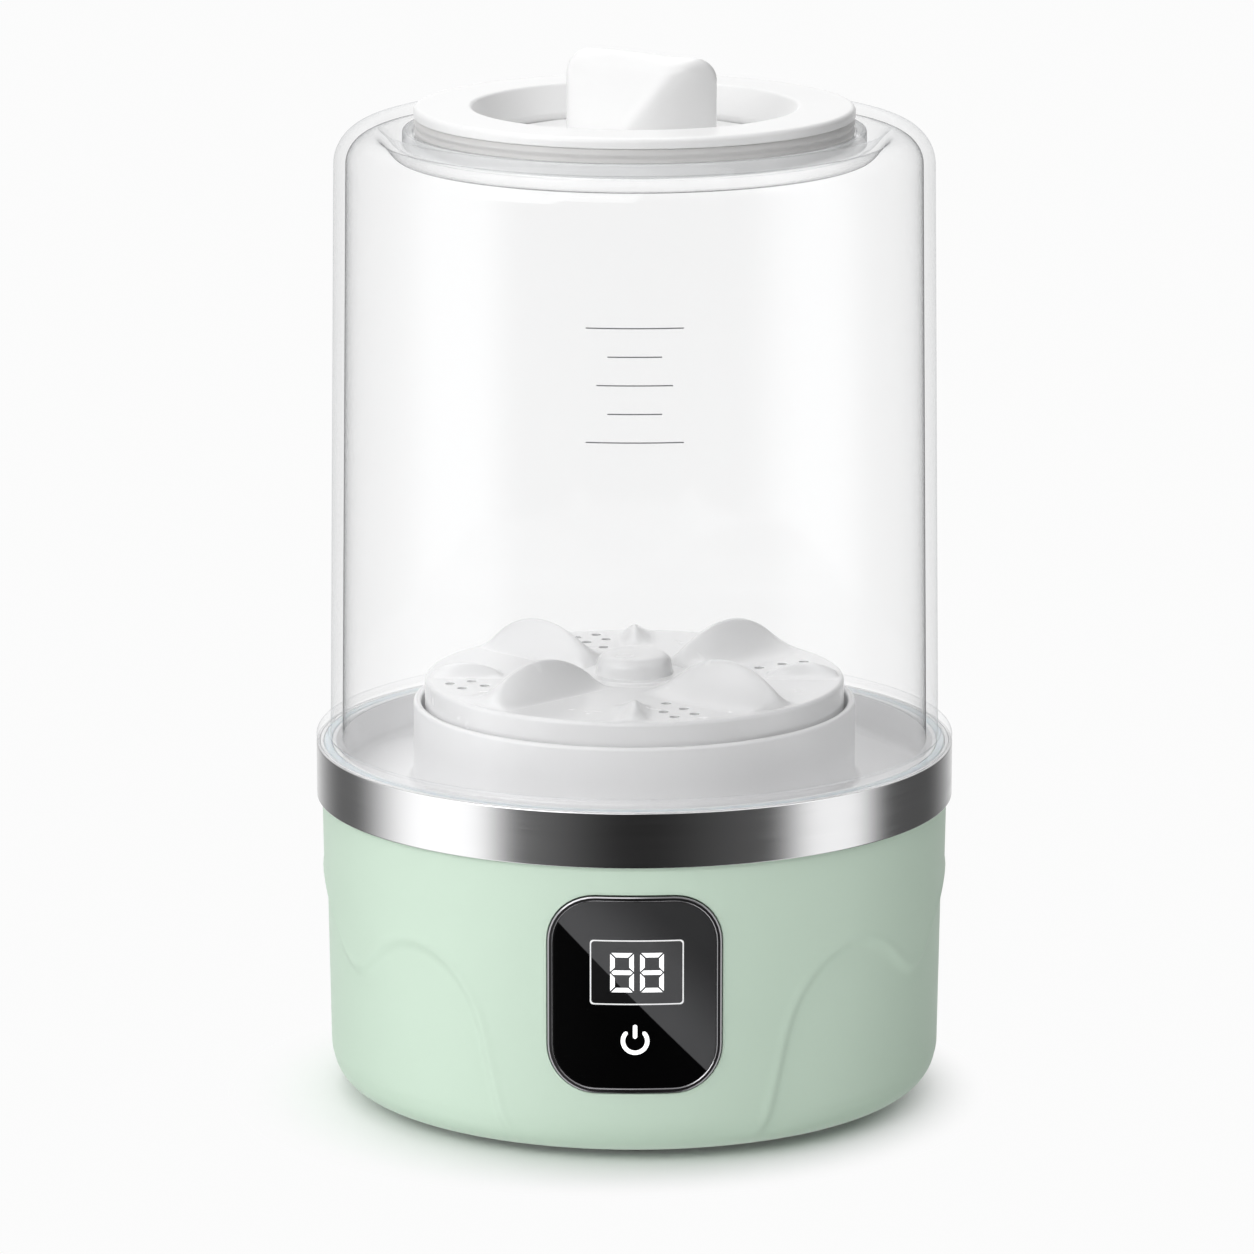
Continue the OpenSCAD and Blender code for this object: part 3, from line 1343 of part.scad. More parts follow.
// Half outline of the grip's front at height fraction u and sideways place x: how far it reaches to -Y
function grip_front(x, u) =
    let (
        hollow = grip_hollow_foot + (grip_hollow_top - grip_hollow_foot) * u,
        lobe = grip_lobe_foot + (grip_lobe_top - grip_lobe_foot) * u
    )
    hollow + (lobe - hollow) * smooth(-9 - 4 * u, 1 + 12 * u, x);

// One ring of the grip at height z above the recess floor. Its back is its front turned half round
function grip_ring(z, n) =
    let (
        u = z / grip_h,
        end_drop = max(0, z - grip_h + grip_end_r),
        half_l = grip_half_l - grip_end_r + sqrt(max(0, pow(grip_end_r, 2) - pow(end_drop, 2))),
        edge_drop = max(0, z - grip_h + grip_edge_r),
        inset = grip_edge_r - sqrt(max(0, pow(grip_edge_r, 2) - pow(edge_drop, 2)))
    )
    [for (k = [0:n - 1])
        let (
            a = 360 * k / n,
            c = sign(cos(a)) * pow(abs(cos(a)), 0.8),
            s = sign(sin(a)) * pow(abs(sin(a)), 0.8),
            x = half_l * c,
            front = grip_front(x, u),
            back = grip_front(-x, u),
            middle = (back - front) / 2,
            half_t = max(0.4, (back + front) / 2 - inset)
        )
        [x, middle + half_t * s, z]];

module lid_grip() {
    n = 48;
    levels = concat(
        [for (i = [0:7]) (grip_h - grip_end_r) * i / 7],
        [for (i = [1:6]) grip_h - grip_end_r + grip_end_r * sin(15 * i) * 0.995]
    );
    points = [for (z = levels) each grip_ring(z, n)];
    last = len(levels) - 1;
    color("#fafafa") translate([grip_shift, 0, recess_z]) polyhedron(points, concat(
        [[for (k = [0:n - 1]) k]],
        [for (i = [0:last - 1], k = [0:n - 1])
            let (a = i * n + k, b = i * n + (k + 1) % n) [a, a + n, b]],
        [for (i = [0:last - 1], k = [0:n - 1])
            let (a = i * n + k, b = i * n + (k + 1) % n) [b, a + n, b + n]],
        [[for (k = [n - 1:-1:0]) last * n + k]]
    ));
}

// Two wires from the inlet's pins to the power board's terminal block
module inlet_wires() {
    back_y = inlet_y - inlet_flange_t / 2 - inlet_depth - pin_tail - glue_gap;
    block_y = 20 - power_shift + glue_gap;
    color("#3a5f9a") for (side = [-1, 1]) {
        start = [side * pin_pitch / 2, back_y, inlet_z];
        wire([
            start, start - [0, 1.5, 0], start - [0, 3, 0],
            [3 + 2 * side, 44.5, inlet_z - 1], [7 + 2.3 * side, 34, inlet_z - 3],
            [5.5 + 2 * side, 22, inlet_z - 4], [-4.5 + side / 2, 13.2 - 2.3 * side, power_top_z + 6],
            [-16 + 3 * side, 11 - 1.8 * side, power_top_z + 4.5],
            [-19 + 3 * side, block_y + 3.4, power_top_z + 3],
            [-19 + 3 * side, block_y + 1.7, power_top_z + 3], [-19 + 3 * side, block_y, power_top_z + 3]
        ], wire_r);
    }
}

// Two wires from the heating element down through the gear plate to the power board
module heater_wires() {
    hole = cable_holes()[0];
    color("#b8433a") for (side = [-1, 1]) {
        start = [heater_r, side * (heater_gap / 2 + 2), element_z0 - terminal_l - glue_gap];
        end = [20 - 3 * side, 18 - power_shift, power_top_z + glue_gap];
        wire([
            start, start - [0, 0, 2], start - [0, 0, 4], [50, 8 + 5 * side, gear_plate_z + 8],
            [hole[0], hole[1] + 3 * side, gear_plate_z], [36, 11 + 3 * side, gear_plate_z - 8],
            [30 - side, 6 + 2 * side, power_top_z + 11], end + [0, 0, 5], end + [0, 0, 2.5], end
        ], wire_r);
    }
}

// Two wires from the motor's terminals round the edge of the power board
module motor_wires() {
    low_z = cover_z1 + 2.9;
    color("#2f2f2f") for (side = [-1, 1]) {
        reach = side * motor_r / 2;
        start = [
            motor_pos[0] + reach * cos(motor_angle), motor_pos[1] + reach * sin(motor_angle),
            motor_z - motor_cap_t - motor_terminal_l - pocket_gap
        ];
        end = [-30 + 1.5 * side, 8 - power_shift, power_top_z + glue_gap];
        sweep = side > 0
            ? [start - [0.5, 5, 3.5], [-15.5, 30, low_z], [-21, 21.5, low_z]]
            : [start - [3.5, 3.5, 3.5], [-26.5, 22, low_z]];
        wire(concat([start, start - [0, 0, 2.4]], sweep, [
            [end[0] - 1, 12, power_top_z + 0.5], [end[0] - 1, 5, power_top_z + 6],
            [end[0], -3, power_top_z + 6], end + [0, 0, 3], end
        ]), wire_r);
    }
}

module board_ribbon() {
    top_y = board_y + board_t + 2 + glue_gap;
    top_z = control_header_z() + 4;
    low_y = -20 - power_shift + glue_gap;
    low_z = power_top_z + 2;
    sag_z = control_header_z() - 3;
    color("#9a9a9a") {
        translate([-ribbon_w / 2, top_y, sag_z]) cube([ribbon_w, ribbon_t, top_z - sag_z]);
        translate([-ribbon_w / 2, top_y, sag_z]) cube([ribbon_w, low_y - top_y + ribbon_t, ribbon_t]);
        translate([-ribbon_w / 2, low_y, low_z]) cube([ribbon_w, ribbon_t, sag_z - low_z + ribbon_t]);
    }
}

outer_shell();
steel_band();
deck();
jar_seal();
bottom_cover();
rubber_feet();
case_screws();
panel_bezel();
panel_glass();
display_module();
touch_electrode();
control_board();
control_board_parts();
control_board_screws();
power_board();
power_board_parts();
power_board_screws();
power_inlet();
inlet_pins();
heater_plate();
heating_element();
heater_screws();
temperature_sensor();
thermal_fuse();
gear_plate();
plate_hangers();
plate_screws();
lower_bush();
upper_bush();
shaft_seal();
idler_pin();
idler_clip();
motor_can();
motor_end_cap();
motor_terminals();
motor_screws();
inlet_wires();
heater_wires();
motor_wires();
board_ribbon();
spindle();
spindle_gear();
thrust_washer();
spindle_clip();
idler_gear();
motor_shaft();
motor_pinion();
agitator_disc();
jar();
lid();
lid_grip();
lid_gasket();
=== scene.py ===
import math
import bpy
import numpy as np
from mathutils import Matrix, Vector


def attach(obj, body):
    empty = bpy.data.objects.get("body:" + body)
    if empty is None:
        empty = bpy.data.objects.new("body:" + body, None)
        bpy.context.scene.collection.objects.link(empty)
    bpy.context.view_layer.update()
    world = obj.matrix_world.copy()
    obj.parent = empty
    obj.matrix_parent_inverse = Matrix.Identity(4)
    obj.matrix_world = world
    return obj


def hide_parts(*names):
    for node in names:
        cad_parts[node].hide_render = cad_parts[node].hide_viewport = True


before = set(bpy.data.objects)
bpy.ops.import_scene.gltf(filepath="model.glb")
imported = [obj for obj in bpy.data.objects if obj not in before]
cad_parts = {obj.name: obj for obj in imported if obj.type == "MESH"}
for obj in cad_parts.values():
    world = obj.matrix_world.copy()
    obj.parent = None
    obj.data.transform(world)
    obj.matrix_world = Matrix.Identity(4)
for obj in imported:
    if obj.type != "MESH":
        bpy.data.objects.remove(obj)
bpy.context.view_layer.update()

# Studio. A camera in front of the panel and a little above it, a pale floor, and three soft lamps:
# one at the front left, one in front and one overhead. Polished faces see two tall soft boxes and a
# dark room in front of them, as steel does in a light tent.
scene = bpy.context.scene
scene.view_settings.view_transform = "Standard"
camera = bpy.data.objects.new("camera", bpy.data.cameras.new("camera"))
scene.collection.objects.link(camera)
scene.camera = camera
camera.location = (-0.00174, -1.69144, 0.48876)
camera.data.lens = 211.3
aim = Vector((-0.00174, 0, 0.11095))
camera.rotation_euler = (aim - camera.location).to_track_quat("-Z", "Y").to_euler()


class Flow:
    """A value on its way through a material. Arithmetic on it adds Math nodes to the material."""

    def __init__(self, finish, socket):
        self.finish, self.socket = finish, socket

    def math(self, operation, *values):
        return self.finish.node("ShaderNodeMath", dict(enumerate(values)), operation=operation)

    def __add__(self, other):
        return self.math("ADD", self, other)

    def __sub__(self, other):
        return self.math("SUBTRACT", self, other)

    def __rsub__(self, other):
        return self.math("SUBTRACT", other, self)

    def __mul__(self, other):
        return self.math("MULTIPLY", self, other)

    def __pow__(self, other):
        return self.math("POWER", self, other)

    __radd__, __rmul__ = __add__, __mul__

    def __abs__(self):
        return self.math("ABSOLUTE", self)

    def step(self, low, high):
        """0 below low, 1 above high, and a smooth rise between them."""
        values = {0: self, 1: low, 2: high, 3: 0.0, 4: 1.0}
        return self.finish.node("ShaderNodeMapRange", values, interpolation_type="SMOOTHSTEP")

    def parts(self):
        """The X, Y and Z of a vector."""
        first = self.finish.node("ShaderNodeSeparateXYZ", {0: self})
        return [Flow(self.finish, out) for out in first.socket.node.outputs]


class Finish:
    """A surface's finish: one principled shader, and the nodes that vary it from place to place."""

    def __init__(self, name, color, roughness, **fixed):
        self.material = bpy.data.materials.new(name)
        self.material.use_nodes = True
        self.tree = self.material.node_tree
        self.shader = self.tree.nodes["Principled BSDF"]
        self.color, self.roughness = (*color, 1), roughness
        self.shader.inputs["Base Color"].default_value = self.color
        self.shader.inputs["Roughness"].default_value = roughness
        for name, value in fixed.items():
            self.shader.inputs[name.replace("_", " ")].default_value = value

    def node(self, kind, values=(), out=0, **settings):
        """Adds a node. Its settings are set first, then the values and links of its sockets."""
        made = self.tree.nodes.new(kind)
        for name, value in settings.items():
            setattr(made, name, value)
        for key, value in dict(values).items():
            if isinstance(value, Flow):
                self.tree.links.new(value.socket, made.inputs[key])
            else:
                made.inputs[key].default_value = value
        return Flow(self, made.outputs[out])

    def place(self):
        """The point on the piece, in metres."""
        return self.node("ShaderNodeTexCoord", out="Object")

    def noise(self, scale, detail=2.0, stretch=(1, 1, 1)):
        """Cloudy noise from 0 to 1 with about scale lumps to the metre, drawn out by stretch."""
        at = self.node("ShaderNodeMapping", {0: self.place(), 3: stretch})
        return self.node("ShaderNodeTexNoise", {"Vector": at, "Scale": scale, "Detail": detail})

    def feed(self, socket, flow):
        self.tree.links.new(flow.socket, self.shader.inputs[socket])

    def blend(self, mask, low, high):
        """A colour between low and high."""
        return self.node("ShaderNodeMix", {0: mask, 6: low, 7: high}, out=2, data_type="RGBA")

    def tone(self, mask, depth):
        """Varies the finish's own colour by depth either way as mask goes from 0 to 1."""
        dark, light = (tuple(c * k for c in self.color[:3]) + (1,) for k in (1 - depth, 1 + depth))
        self.feed("Base Color", self.blend(mask, dark, light))

    def bump(self, height, depth):
        """Raises the surface by depth metres where height is 1."""
        values = {"Height": height, "Distance": depth, "Strength": 1.0}
        self.feed("Normal", self.node("ShaderNodeBump", values))


def floor_finish():
    """Pale paper: it takes the lamps and the object's shadow close to the foot, and turns into the
    white background 0.09 m out. Clear pieces show the same white."""
    paper = Finish("floor_paper", (0.93, 0.93, 0.93), 0.9)
    shift = 0.006
    x, y, _ = paper.place().parts()
    x, y = x + shift, y + shift
    out = ((x * x + y * y) ** 0.5).step(0.064, 0.09)
    paper.tone(paper.noise(90, 3), 0.004)
    glow = paper.node("ShaderNodeEmission", {0: (1, 1, 1, 1), 1: 0.97})
    rays = paper.node("ShaderNodeLightPath").socket.node.outputs
    shown = Flow(paper, rays["Is Camera Ray"]) + Flow(paper, rays["Is Transmission Ray"])
    shader = Flow(paper, paper.shader.outputs[0])
    fade = shown.math("MINIMUM", shown, 1.0) * out
    mixed = paper.node("ShaderNodeMixShader", {0: fade, 1: shader, 2: glow})
    paper.tree.links.new(mixed.socket, paper.tree.nodes["Material Output"].inputs[0])
    return paper.material


floor_sides = 96
turns = np.linspace(0, 2 * math.pi, floor_sides, endpoint=False)
rings = np.array([0.0, 0.05, 0.12, 0.25, 0.6, 1.5, 4.0])[:, None]
floor_points = np.stack([
    rings * np.cos(turns), rings * np.sin(turns), 0 * rings * turns
], -1).reshape(-1, 3)
ring_start = floor_sides * np.arange(len(rings) - 1)[:, None]
spoke = np.arange(floor_sides)
next_spoke = (spoke + 1) % floor_sides
floor_quads = np.stack([
    ring_start + spoke, ring_start + floor_sides + spoke, ring_start + floor_sides + next_spoke,
    ring_start + next_spoke
], -1).reshape(-1, 4)
floor_mesh = bpy.data.meshes.new("floor")
floor_mesh.from_pydata(floor_points.tolist(), [], floor_quads.tolist())
floor = bpy.data.objects.new("floor", floor_mesh)
scene.collection.objects.link(floor)
floor_mesh.materials.append(floor_finish())
floor.visible_glossy = False


class Sky(Finish):
    """The room round the object, as a world's node tree."""

    def __init__(self):
        self.world = bpy.data.worlds.new("room")
        self.world.use_nodes = True
        self.tree = self.world.node_tree
        scene.world = self.world


room = Sky()
ray = room.node("ShaderNodeLightPath").socket.node.outputs
x, y, z = room.node("ShaderNodeTexCoord", out="Generated").parts()
side = x.math("ARCTAN2", x, 0 - y) * (180 / math.pi)
left_box = side.step(-122, -82) * (1 - side.step(-62, -40))
right_box = side.step(48, 70) * (1 - side.step(84, 106))
left_wall = (1 - side.step(-42, -2)) * 0.14
right_wall = side.step(4, 45) * 0.08
behind = abs(side).step(131, 184)
above = z.step(0.25, 0.6)
boxes = left_box * 1.42 + right_box * 1.22
seen = 0.02 + boxes + left_wall + right_wall + behind * 0.95 + above * 0.65
mirror_room = room.node("ShaderNodeBackground", {0: (1, 1, 1, 1), 1: seen})
white_room = room.node("ShaderNodeBackground", {0: (1, 1, 1, 1), 1: 0.985})
ceiling = z.step(-0.3, 0.9) * (0.48 - side.step(10, 70) * 0.14)
soft = 0.05 + ceiling + (1 - side.step(-60, 40)) * 0.24
fill_room = room.node("ShaderNodeBackground", {0: (1, 1, 1, 1), 1: soft})
reflected = Flow(room, ray["Is Glossy Ray"]) * (1 - Flow(room, ray["Is Transmission Ray"]))
shiny = room.node("ShaderNodeMixShader", {0: reflected, 1: white_room, 2: mirror_room})
matt = Flow(room, ray["Is Diffuse Ray"])
whole = room.node("ShaderNodeMixShader", {0: matt, 1: shiny, 2: fill_room})
room.tree.links.new(whole.socket, room.tree.nodes["World Output"].inputs[0])


def lamp(name, place, size, watts):
    """A square soft box that faces the middle of the object."""
    light = bpy.data.lights.new(name, "AREA")
    light.shape, light.size, light.energy = "SQUARE", size, watts
    box = bpy.data.objects.new(name, light)
    scene.collection.objects.link(box)
    box.location = place
    box.rotation_euler = (Vector((0, 0, 0.1)) - Vector(place)).to_track_quat("-Z", "Y").to_euler()


lamp("key", (-1.0, -0.95, 0.75), 0.9, 6.1)
lamp("front", (-0.35, -1.3, 1.0), 0.8, 3.7)
lamp("overhead", (-0.1, 0.3, 1.4), 0.9, 4.9)


# Outer shell. A mint green injection moulding with a satin skin. It is a slightly tapered drum with
# a rounded foot, and shallow lobes are pressed into its side. The panel and the inlet sit in
# cut-outs.
MM = 0.001
panel_z = 41.4
shell_top = 71.5


def arc(x, z, radius, start, end, steps):
    """Points on a circle about (x, z) from angle start to angle end, in degrees."""
    a = np.radians(np.linspace(start, end, steps + 1))
    return np.stack([x + radius * np.cos(a), z + radius * np.sin(a)], -1)


def dense(points, gap):
    """The same open line with points no further apart than gap: each is a share of the length."""
    points = np.asarray(points, float)
    run = np.concatenate([[0], np.cumsum(np.linalg.norm(np.diff(points, axis=0), axis=1))])
    more = np.linspace(0, run[-1], int(run[-1] / gap) + 1)
    at = np.unique(np.round(np.concatenate([run, more]), 6))
    return np.stack([np.interp(at, run, points[:, k]) for k in range(2)], -1)


def quads(rows, columns, wrap_rows=True, wrap_columns=True):
    """The four corner numbers of every cell of a grid, joined end to end where it wraps."""
    i = np.arange(rows if wrap_rows else rows - 1)[:, None]
    j = np.arange(columns if wrap_columns else columns - 1)[None]
    i2, j2 = (i + 1) % rows, (j + 1) % columns
    cells = [i * columns + j, i * columns + j2, i2 * columns + j2, i2 * columns + j]
    return np.stack(cells, -1).reshape(-1, 4)


def joined(*solids):
    """Several solids, each an array of points and its faces, as one."""
    starts = np.cumsum([0] + [len(points) for points, faces in solids[:-1]])
    faces = [np.where(f < 0, -1, f + start) for (points, f), start in zip(solids, starts)]
    return np.concatenate([points for points, f in solids]), np.concatenate(faces)


def grid_solid(grid, wrap_rows=True):
    """A closed surface from a grid of points whose columns run round it. Points that meet, as at a
    pole, become one. A face is four point numbers, and a triangle's last number is -1. The faces
    are turned so that the volume, a sixth of the sum of p0 . (p1 x p2), is above zero."""
    rows, columns = grid.shape[:2]
    flat = grid.reshape(-1, 3)
    keys, first, same = np.unique(
        np.round(flat, 5), axis=0, return_index=True, return_inverse=True)
    points, faces = flat[first], same.reshape(-1)[quads(rows, columns, wrap_rows)]
    for a, b in ((0, 1), (1, 2), (2, 3), (3, 0)):
        faces[faces[:, a] == faces[:, b], b] = -1
    faces = faces[np.sum(faces >= 0, 1) >= 3]
    faces = np.take_along_axis(faces, np.argsort(faces < 0, axis=1, kind="stable"), 1)
    p0, p1, p2 = (points[faces[:, k]] for k in range(3))
    p3 = np.where(faces[:, 3:] < 0, p2, points[faces[:, 3]])
    volume = np.sum(p0 * np.cross(p1, p2)) + np.sum(p0 * np.cross(p2, p3))
    if volume < 0:
        three = faces[:, 3] < 0
        faces[three, :3] = faces[three, 2::-1]
        faces[~three] = faces[~three, ::-1]
    return points, faces


def turned(profile, steps=256, pole=False):
    """A profile of radii and heights turned about the axis. With pole it is open and ends on it."""
    profile = np.asarray(profile, float)
    a = np.linspace(0, 2 * math.pi, steps, endpoint=False)
    grid = np.stack([
        profile[:, :1] * np.cos(a), profile[:, :1] * np.sin(a), profile[:, 1:] + 0 * a
    ], -1)
    return grid_solid(grid, wrap_rows=not pole)


def piece(name, solid, finish, body, slot, *nodes, crease=40):
    """Makes a solid, given in millimetres, an object that rides on a body and replaces nodes."""
    points, faces = solid
    mesh = bpy.data.meshes.new(name)
    mesh.from_pydata((points * MM).tolist(), [], [f[:3] if f[3] < 0 else f for f in faces.tolist()])
    mesh.polygons.foreach_set("use_smooth", [True] * len(mesh.polygons))
    mesh.set_sharp_from_angle(angle=math.radians(crease))
    mesh.materials.append(finish.material)
    made = bpy.data.objects.new(name, mesh)
    scene.collection.objects.link(made)
    if body:
        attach(made, body)
    if nodes:
        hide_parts(*nodes)
    return made


def cut_out(made, *solids, crease=40):
    """Cuts solids out of a piece, and keeps the result as its mesh."""
    tools = [piece(f"tool_{k}", solid, shell_finish, None, None) for k, solid in enumerate(solids)]
    for tool in tools:
        cut = made.modifiers.new("cut", "BOOLEAN")
        cut.operation, cut.object, cut.solver = "DIFFERENCE", tool, "MANIFOLD"
    bpy.context.view_layer.update()
    graph = bpy.context.evaluated_depsgraph_get()
    mesh = bpy.data.meshes.new_from_object(made.evaluated_get(graph))
    made.modifiers.clear()
    made.data = mesh
    mesh.set_sharp_from_angle(angle=math.radians(crease))
    for tool in tools:
        bpy.data.objects.remove(tool)


def moulded(name, color, roughness, grain=2600, depth=0.000012, **fixed):
    """Moulded plastic: a faint cloudiness in its colour, uneven gloss where it cooled, and the fine
    etched grain of the mould."""
    plastic = Finish(name, color, roughness, **fixed)
    plastic.tone(plastic.noise(38, 3), 0.012)
    plastic.feed("Roughness", plastic.noise(150, 4) * 0.08 + (roughness - 0.04))
    plastic.bump(plastic.noise(grain, 2), depth)
    return plastic


def shell_radius(z):
    """Radius of the drum's straight side at height z."""
    return 72.75 + (z - 12) / 59.5


mm_per_degree = 1.27


def lobe_edge():
    """The edge of the pressed lobes over a quarter turn, as angles from the front and heights. It
    is a line through the knots, with each point replaced by the mean of seven."""
    knots = np.array([
        (22.3, 3), (24.6, 9), (26.5, 18), (28, 27), (29.6, 34.4), (32.6, 41), (36.7, 45.9),
        (41.5, 48.5), (46.5, 48.6), (53, 45.2), (58.5, 39.6), (61.5, 37.2), (64, 37.2),
        (67.1, 38.9), (72.2, 44.1), (77, 48), (82, 51.4), (86, 53.2), (90, 53.8)
    ])
    steps = np.hypot(*np.diff(knots * (mm_per_degree, 1), axis=0).T)
    run = np.concatenate([[0], np.cumsum(steps)])
    at = np.linspace(0, run[-1], 120)
    a, z = np.interp(at, run, knots[:, 0]), np.interp(at, run, knots[:, 1])
    mean = np.ones(7) / 7
    a[3:-3], z[3:-3] = np.convolve(a, mean, "valid"), np.convolve(z, mean, "valid")
    return a, z


def pressed(points, depth=0.75, slope=1.5, bead=0.5):
    """Moves the drum's wall in by depth inside the lobes, over a slope of about 3 mm, and raises a
    soft bead (1 - (d / 2)^2)^2 along their edge, at distance d from it. The wall's outside and
    inside move together. The foot and the top edge stay."""
    a = np.degrees(np.arctan2(np.abs(points[:, 0]), np.abs(points[:, 1])))
    z, r = points[:, 2], np.hypot(points[:, 0], points[:, 1])
    edge_a, edge_z = lobe_edge()
    near = np.full(len(points), 99.0)
    edge = np.stack([edge_a * mm_per_degree, edge_z], -1)
    for p, following in zip(edge[:-1], edge[1:]):
        d = following - p
        q = np.stack([a * mm_per_degree, z], -1) - p
        t = np.clip(q @ d / (d @ d), 0, 1)
        near = np.minimum(near, np.hypot(*(q - t[:, None] * d).T))
    inside = (z < np.interp(a, edge_a, edge_z)) & (a > edge_a[0])
    t = np.clip(0.5 + np.where(inside, near, -near) / (2 * slope), 0, 1)
    wall = (r > 62.7) & (z > 2.5) & (r > shell_radius(z) - 9.99)
    ridge = bead * np.clip(1 - (near / 2) ** 2, 0, 1) ** 2
    move = (depth * t * t * (3 - 2 * t) - ridge) * np.clip((z - 3) / 6, 0, 1) * wall
    points[:, :2] *= ((r - move) / np.maximum(r, 1))[:, None]
    return points


def front_outline(width, height, corner, step=1.2):
    """A rounded rectangle about (0, 0), as points going round it no more than about step apart."""
    dx, dz = width / 2 - corner, height / 2 - corner
    sides = [arc(sx * dx, sz * dz, corner, a, a + 90, 10)
             for sx, sz, a in ((1, 1, 0), (-1, 1, 90), (-1, -1, 180), (1, -1, 270))]
    line = np.concatenate(sides + [sides[0][:1]])
    return dense(line, step)[:-1]


def on_shell(x, z, out):
    """The point of the panel's side at (x, z), moved out from the drum by out."""
    r = shell_radius(z) + out
    return np.stack([x, -np.sqrt(r * r - x * x), z + 0 * x], -1)


def front_solid(width, height, corner, rows, hollow=False):
    """A rounded rectangle that follows the drum about the panel's middle. Each row is an inset, a
    share of the size and a height above the drum. The rows close the solid, or run round the
    section of a hollow frame."""
    line = front_outline(width, height, corner)
    core = np.clip(np.abs(line) - (width / 2 - corner, height / 2 - corner), 0, None)
    lean = np.sign(line) * core / np.maximum(np.hypot(*core.T), 1e-9)[:, None]
    shapes = [((line - lean * inset) * share, out) for inset, share, out in rows]
    grid = [on_shell(shape[:, 0], shape[:, 1] + panel_z, out) for shape, out in shapes]
    return grid_solid(np.stack(grid), wrap_rows=hollow)


def fill(out, steps=12, back=False):
    """Rows that fill a rounded rectangle from its edge to its middle at one height."""
    shares = np.linspace(1, 0, steps + 1)
    return [(0, share, out) for share in (shares[::-1] if back else shares)]


def upright_prism(width, height, corner, z, y0, y1):
    """A rounded rectangular bar along Y."""
    line = front_outline(width, height, corner)
    ends = [(0, y0), (1, y0), (1, y1), (0, y1)]
    grid = [np.stack([line[:, 0] * s, 0 * line[:, 0] + y, line[:, 1] * s + z], -1) for s, y in ends]
    return grid_solid(np.stack(grid), wrap_rows=False)


def round_bar(radius, start, end, steps=24):
    """A round bar from one point to another."""
    start, end = np.asarray(start, float), np.asarray(end, float)
    axis = (end - start) / np.linalg.norm(end - start)
    side = np.cross(axis, (0, 0, 1) if abs(axis[2]) < 0.9 else (1, 0, 0))
    side /= np.linalg.norm(side)
    a = np.linspace(0, 2 * math.pi, steps, endpoint=False)[:, None]
    ring = (np.cos(a) * side + np.sin(a) * np.cross(axis, side)) * radius
    grid = [start + 0 * ring, start + ring, end + ring, end + 0 * ring]
    return grid_solid(np.stack(grid), wrap_rows=False)


shell_finish = moulded(
    "mint_moulding", (0.615, 0.765, 0.637), 0.45, Coat_Weight=0.04, Coat_Roughness=0.3)
shell_outside = dense(np.concatenate([arc(62.75, 12, 10, -90, 0, 18), [(73.75, 71.1)]]), 0.85)
shell_profile = np.concatenate([
    [(61.5, 2), (61.8, 2), (62.4, 2)], shell_outside,
    [(73.65, 71.4), (73.4, shell_top), (71.3, shell_top)],
    [(71.15, 71.3)], arc(62.75, 14, 7.4, 0, -90, 8), [(59.9, 6.6), (59.9, 4.4), (61.5, 4.4)]
])
shell_points, shell_faces = turned(shell_profile, 576)
board_bosses = [
    round_bar(2.8, (x, -61.9, z), (x, -math.sqrt(71.6 ** 2 - x * x), z))
    for x in (-19.5, 19.5) for z in (20.4, 62.4)
]
shell = piece("shell_moulding", (pressed(shell_points), shell_faces), shell_finish, "base",
              "shell_green", "outer_shell", crease=50)
panel_seat = front_solid(40.4, 47.1, 11.3, fill(-1.4, back=True) + fill(1.5))
panel_window = upright_prism(31.8, 38.5, 7, panel_z, -76, -60)
inlet_window = upright_prism(22.6, 13.6, 2, 24, 60, 76)
cut_out(shell, panel_seat, panel_window, inlet_window, crease=50)
bosses = piece("shell_bosses", joined(*board_bosses), shell_finish, "base", "shell_green")
bosses.parent = shell


# Steel band. A strip of stainless steel, rolled to a ring, welded at the back, polished, and
# pressed over the deck's wall. Its edges are turned a little.
def rounded(corners, steps=5, guard=0.12):
    """A closed profile whose corners are arcs that touch both of their sides. Each corner gives a
    radius, a height and the arc's radius, and guard points beside an arc keep flat sides flat."""
    points = []
    for k, (x, z, radius) in enumerate(corners):
        at = np.array([x, z])
        a = np.array(corners[k - 1][:2]) - at
        b = np.array(corners[(k + 1) % len(corners)][:2]) - at
        la, lb = np.hypot(*a), np.hypot(*b)
        if radius == 0:
            points.append(at)
            continue
        a, b = a / la, b / lb
        half = 0.5 * math.acos(np.clip(a @ b, -0.9999, 0.9999))
        reach = min(radius / math.tan(half), 0.46 * min(la, lb))
        middle = at + (a + b) / np.hypot(*(a + b)) * reach / math.cos(half)
        sweep = math.pi - 2 * half
        t = np.linspace(0, 1, steps + 1)[:, None]
        bend = (np.sin((1 - t) * sweep) * (at + a * reach - middle)
                + np.sin(t * sweep) * (at + b * reach - middle)) / math.sin(sweep)
        points += [at + a * (reach + guard * min(radius, 1))]
        points += list(middle + bend)
        points += [at + b * (reach + guard * min(radius, 1))]
    return np.array(points)


def worked_metal(name, color, roughness, lines=900, depth=0.000004, stretch=(1, 1, 40)):
    """Metal with the fine lines that rolling or turning leaves, drawn out by stretch."""
    metal = Finish(name, color, roughness, Metallic=1.0)
    drawn = metal.noise(lines / 40, 4, stretch)
    metal.tone(metal.noise(60, 3), 0.025)
    metal.feed("Roughness", drawn * 0.10 + (roughness - 0.05))
    metal.bump(drawn, depth)
    return metal


deck_top = 84.4
band_finish = worked_metal("polished_band", (0.66, 0.66, 0.665), 0.19, lines=1400)
band_profile = rounded([
    (74.2, shell_top, 0.1), (75, shell_top, 0.28), (75, deck_top, 0.28), (74.2, deck_top, 0.1)])
piece("band", turned(band_profile, 384), band_finish, "base", "band_steel", "steel_band")

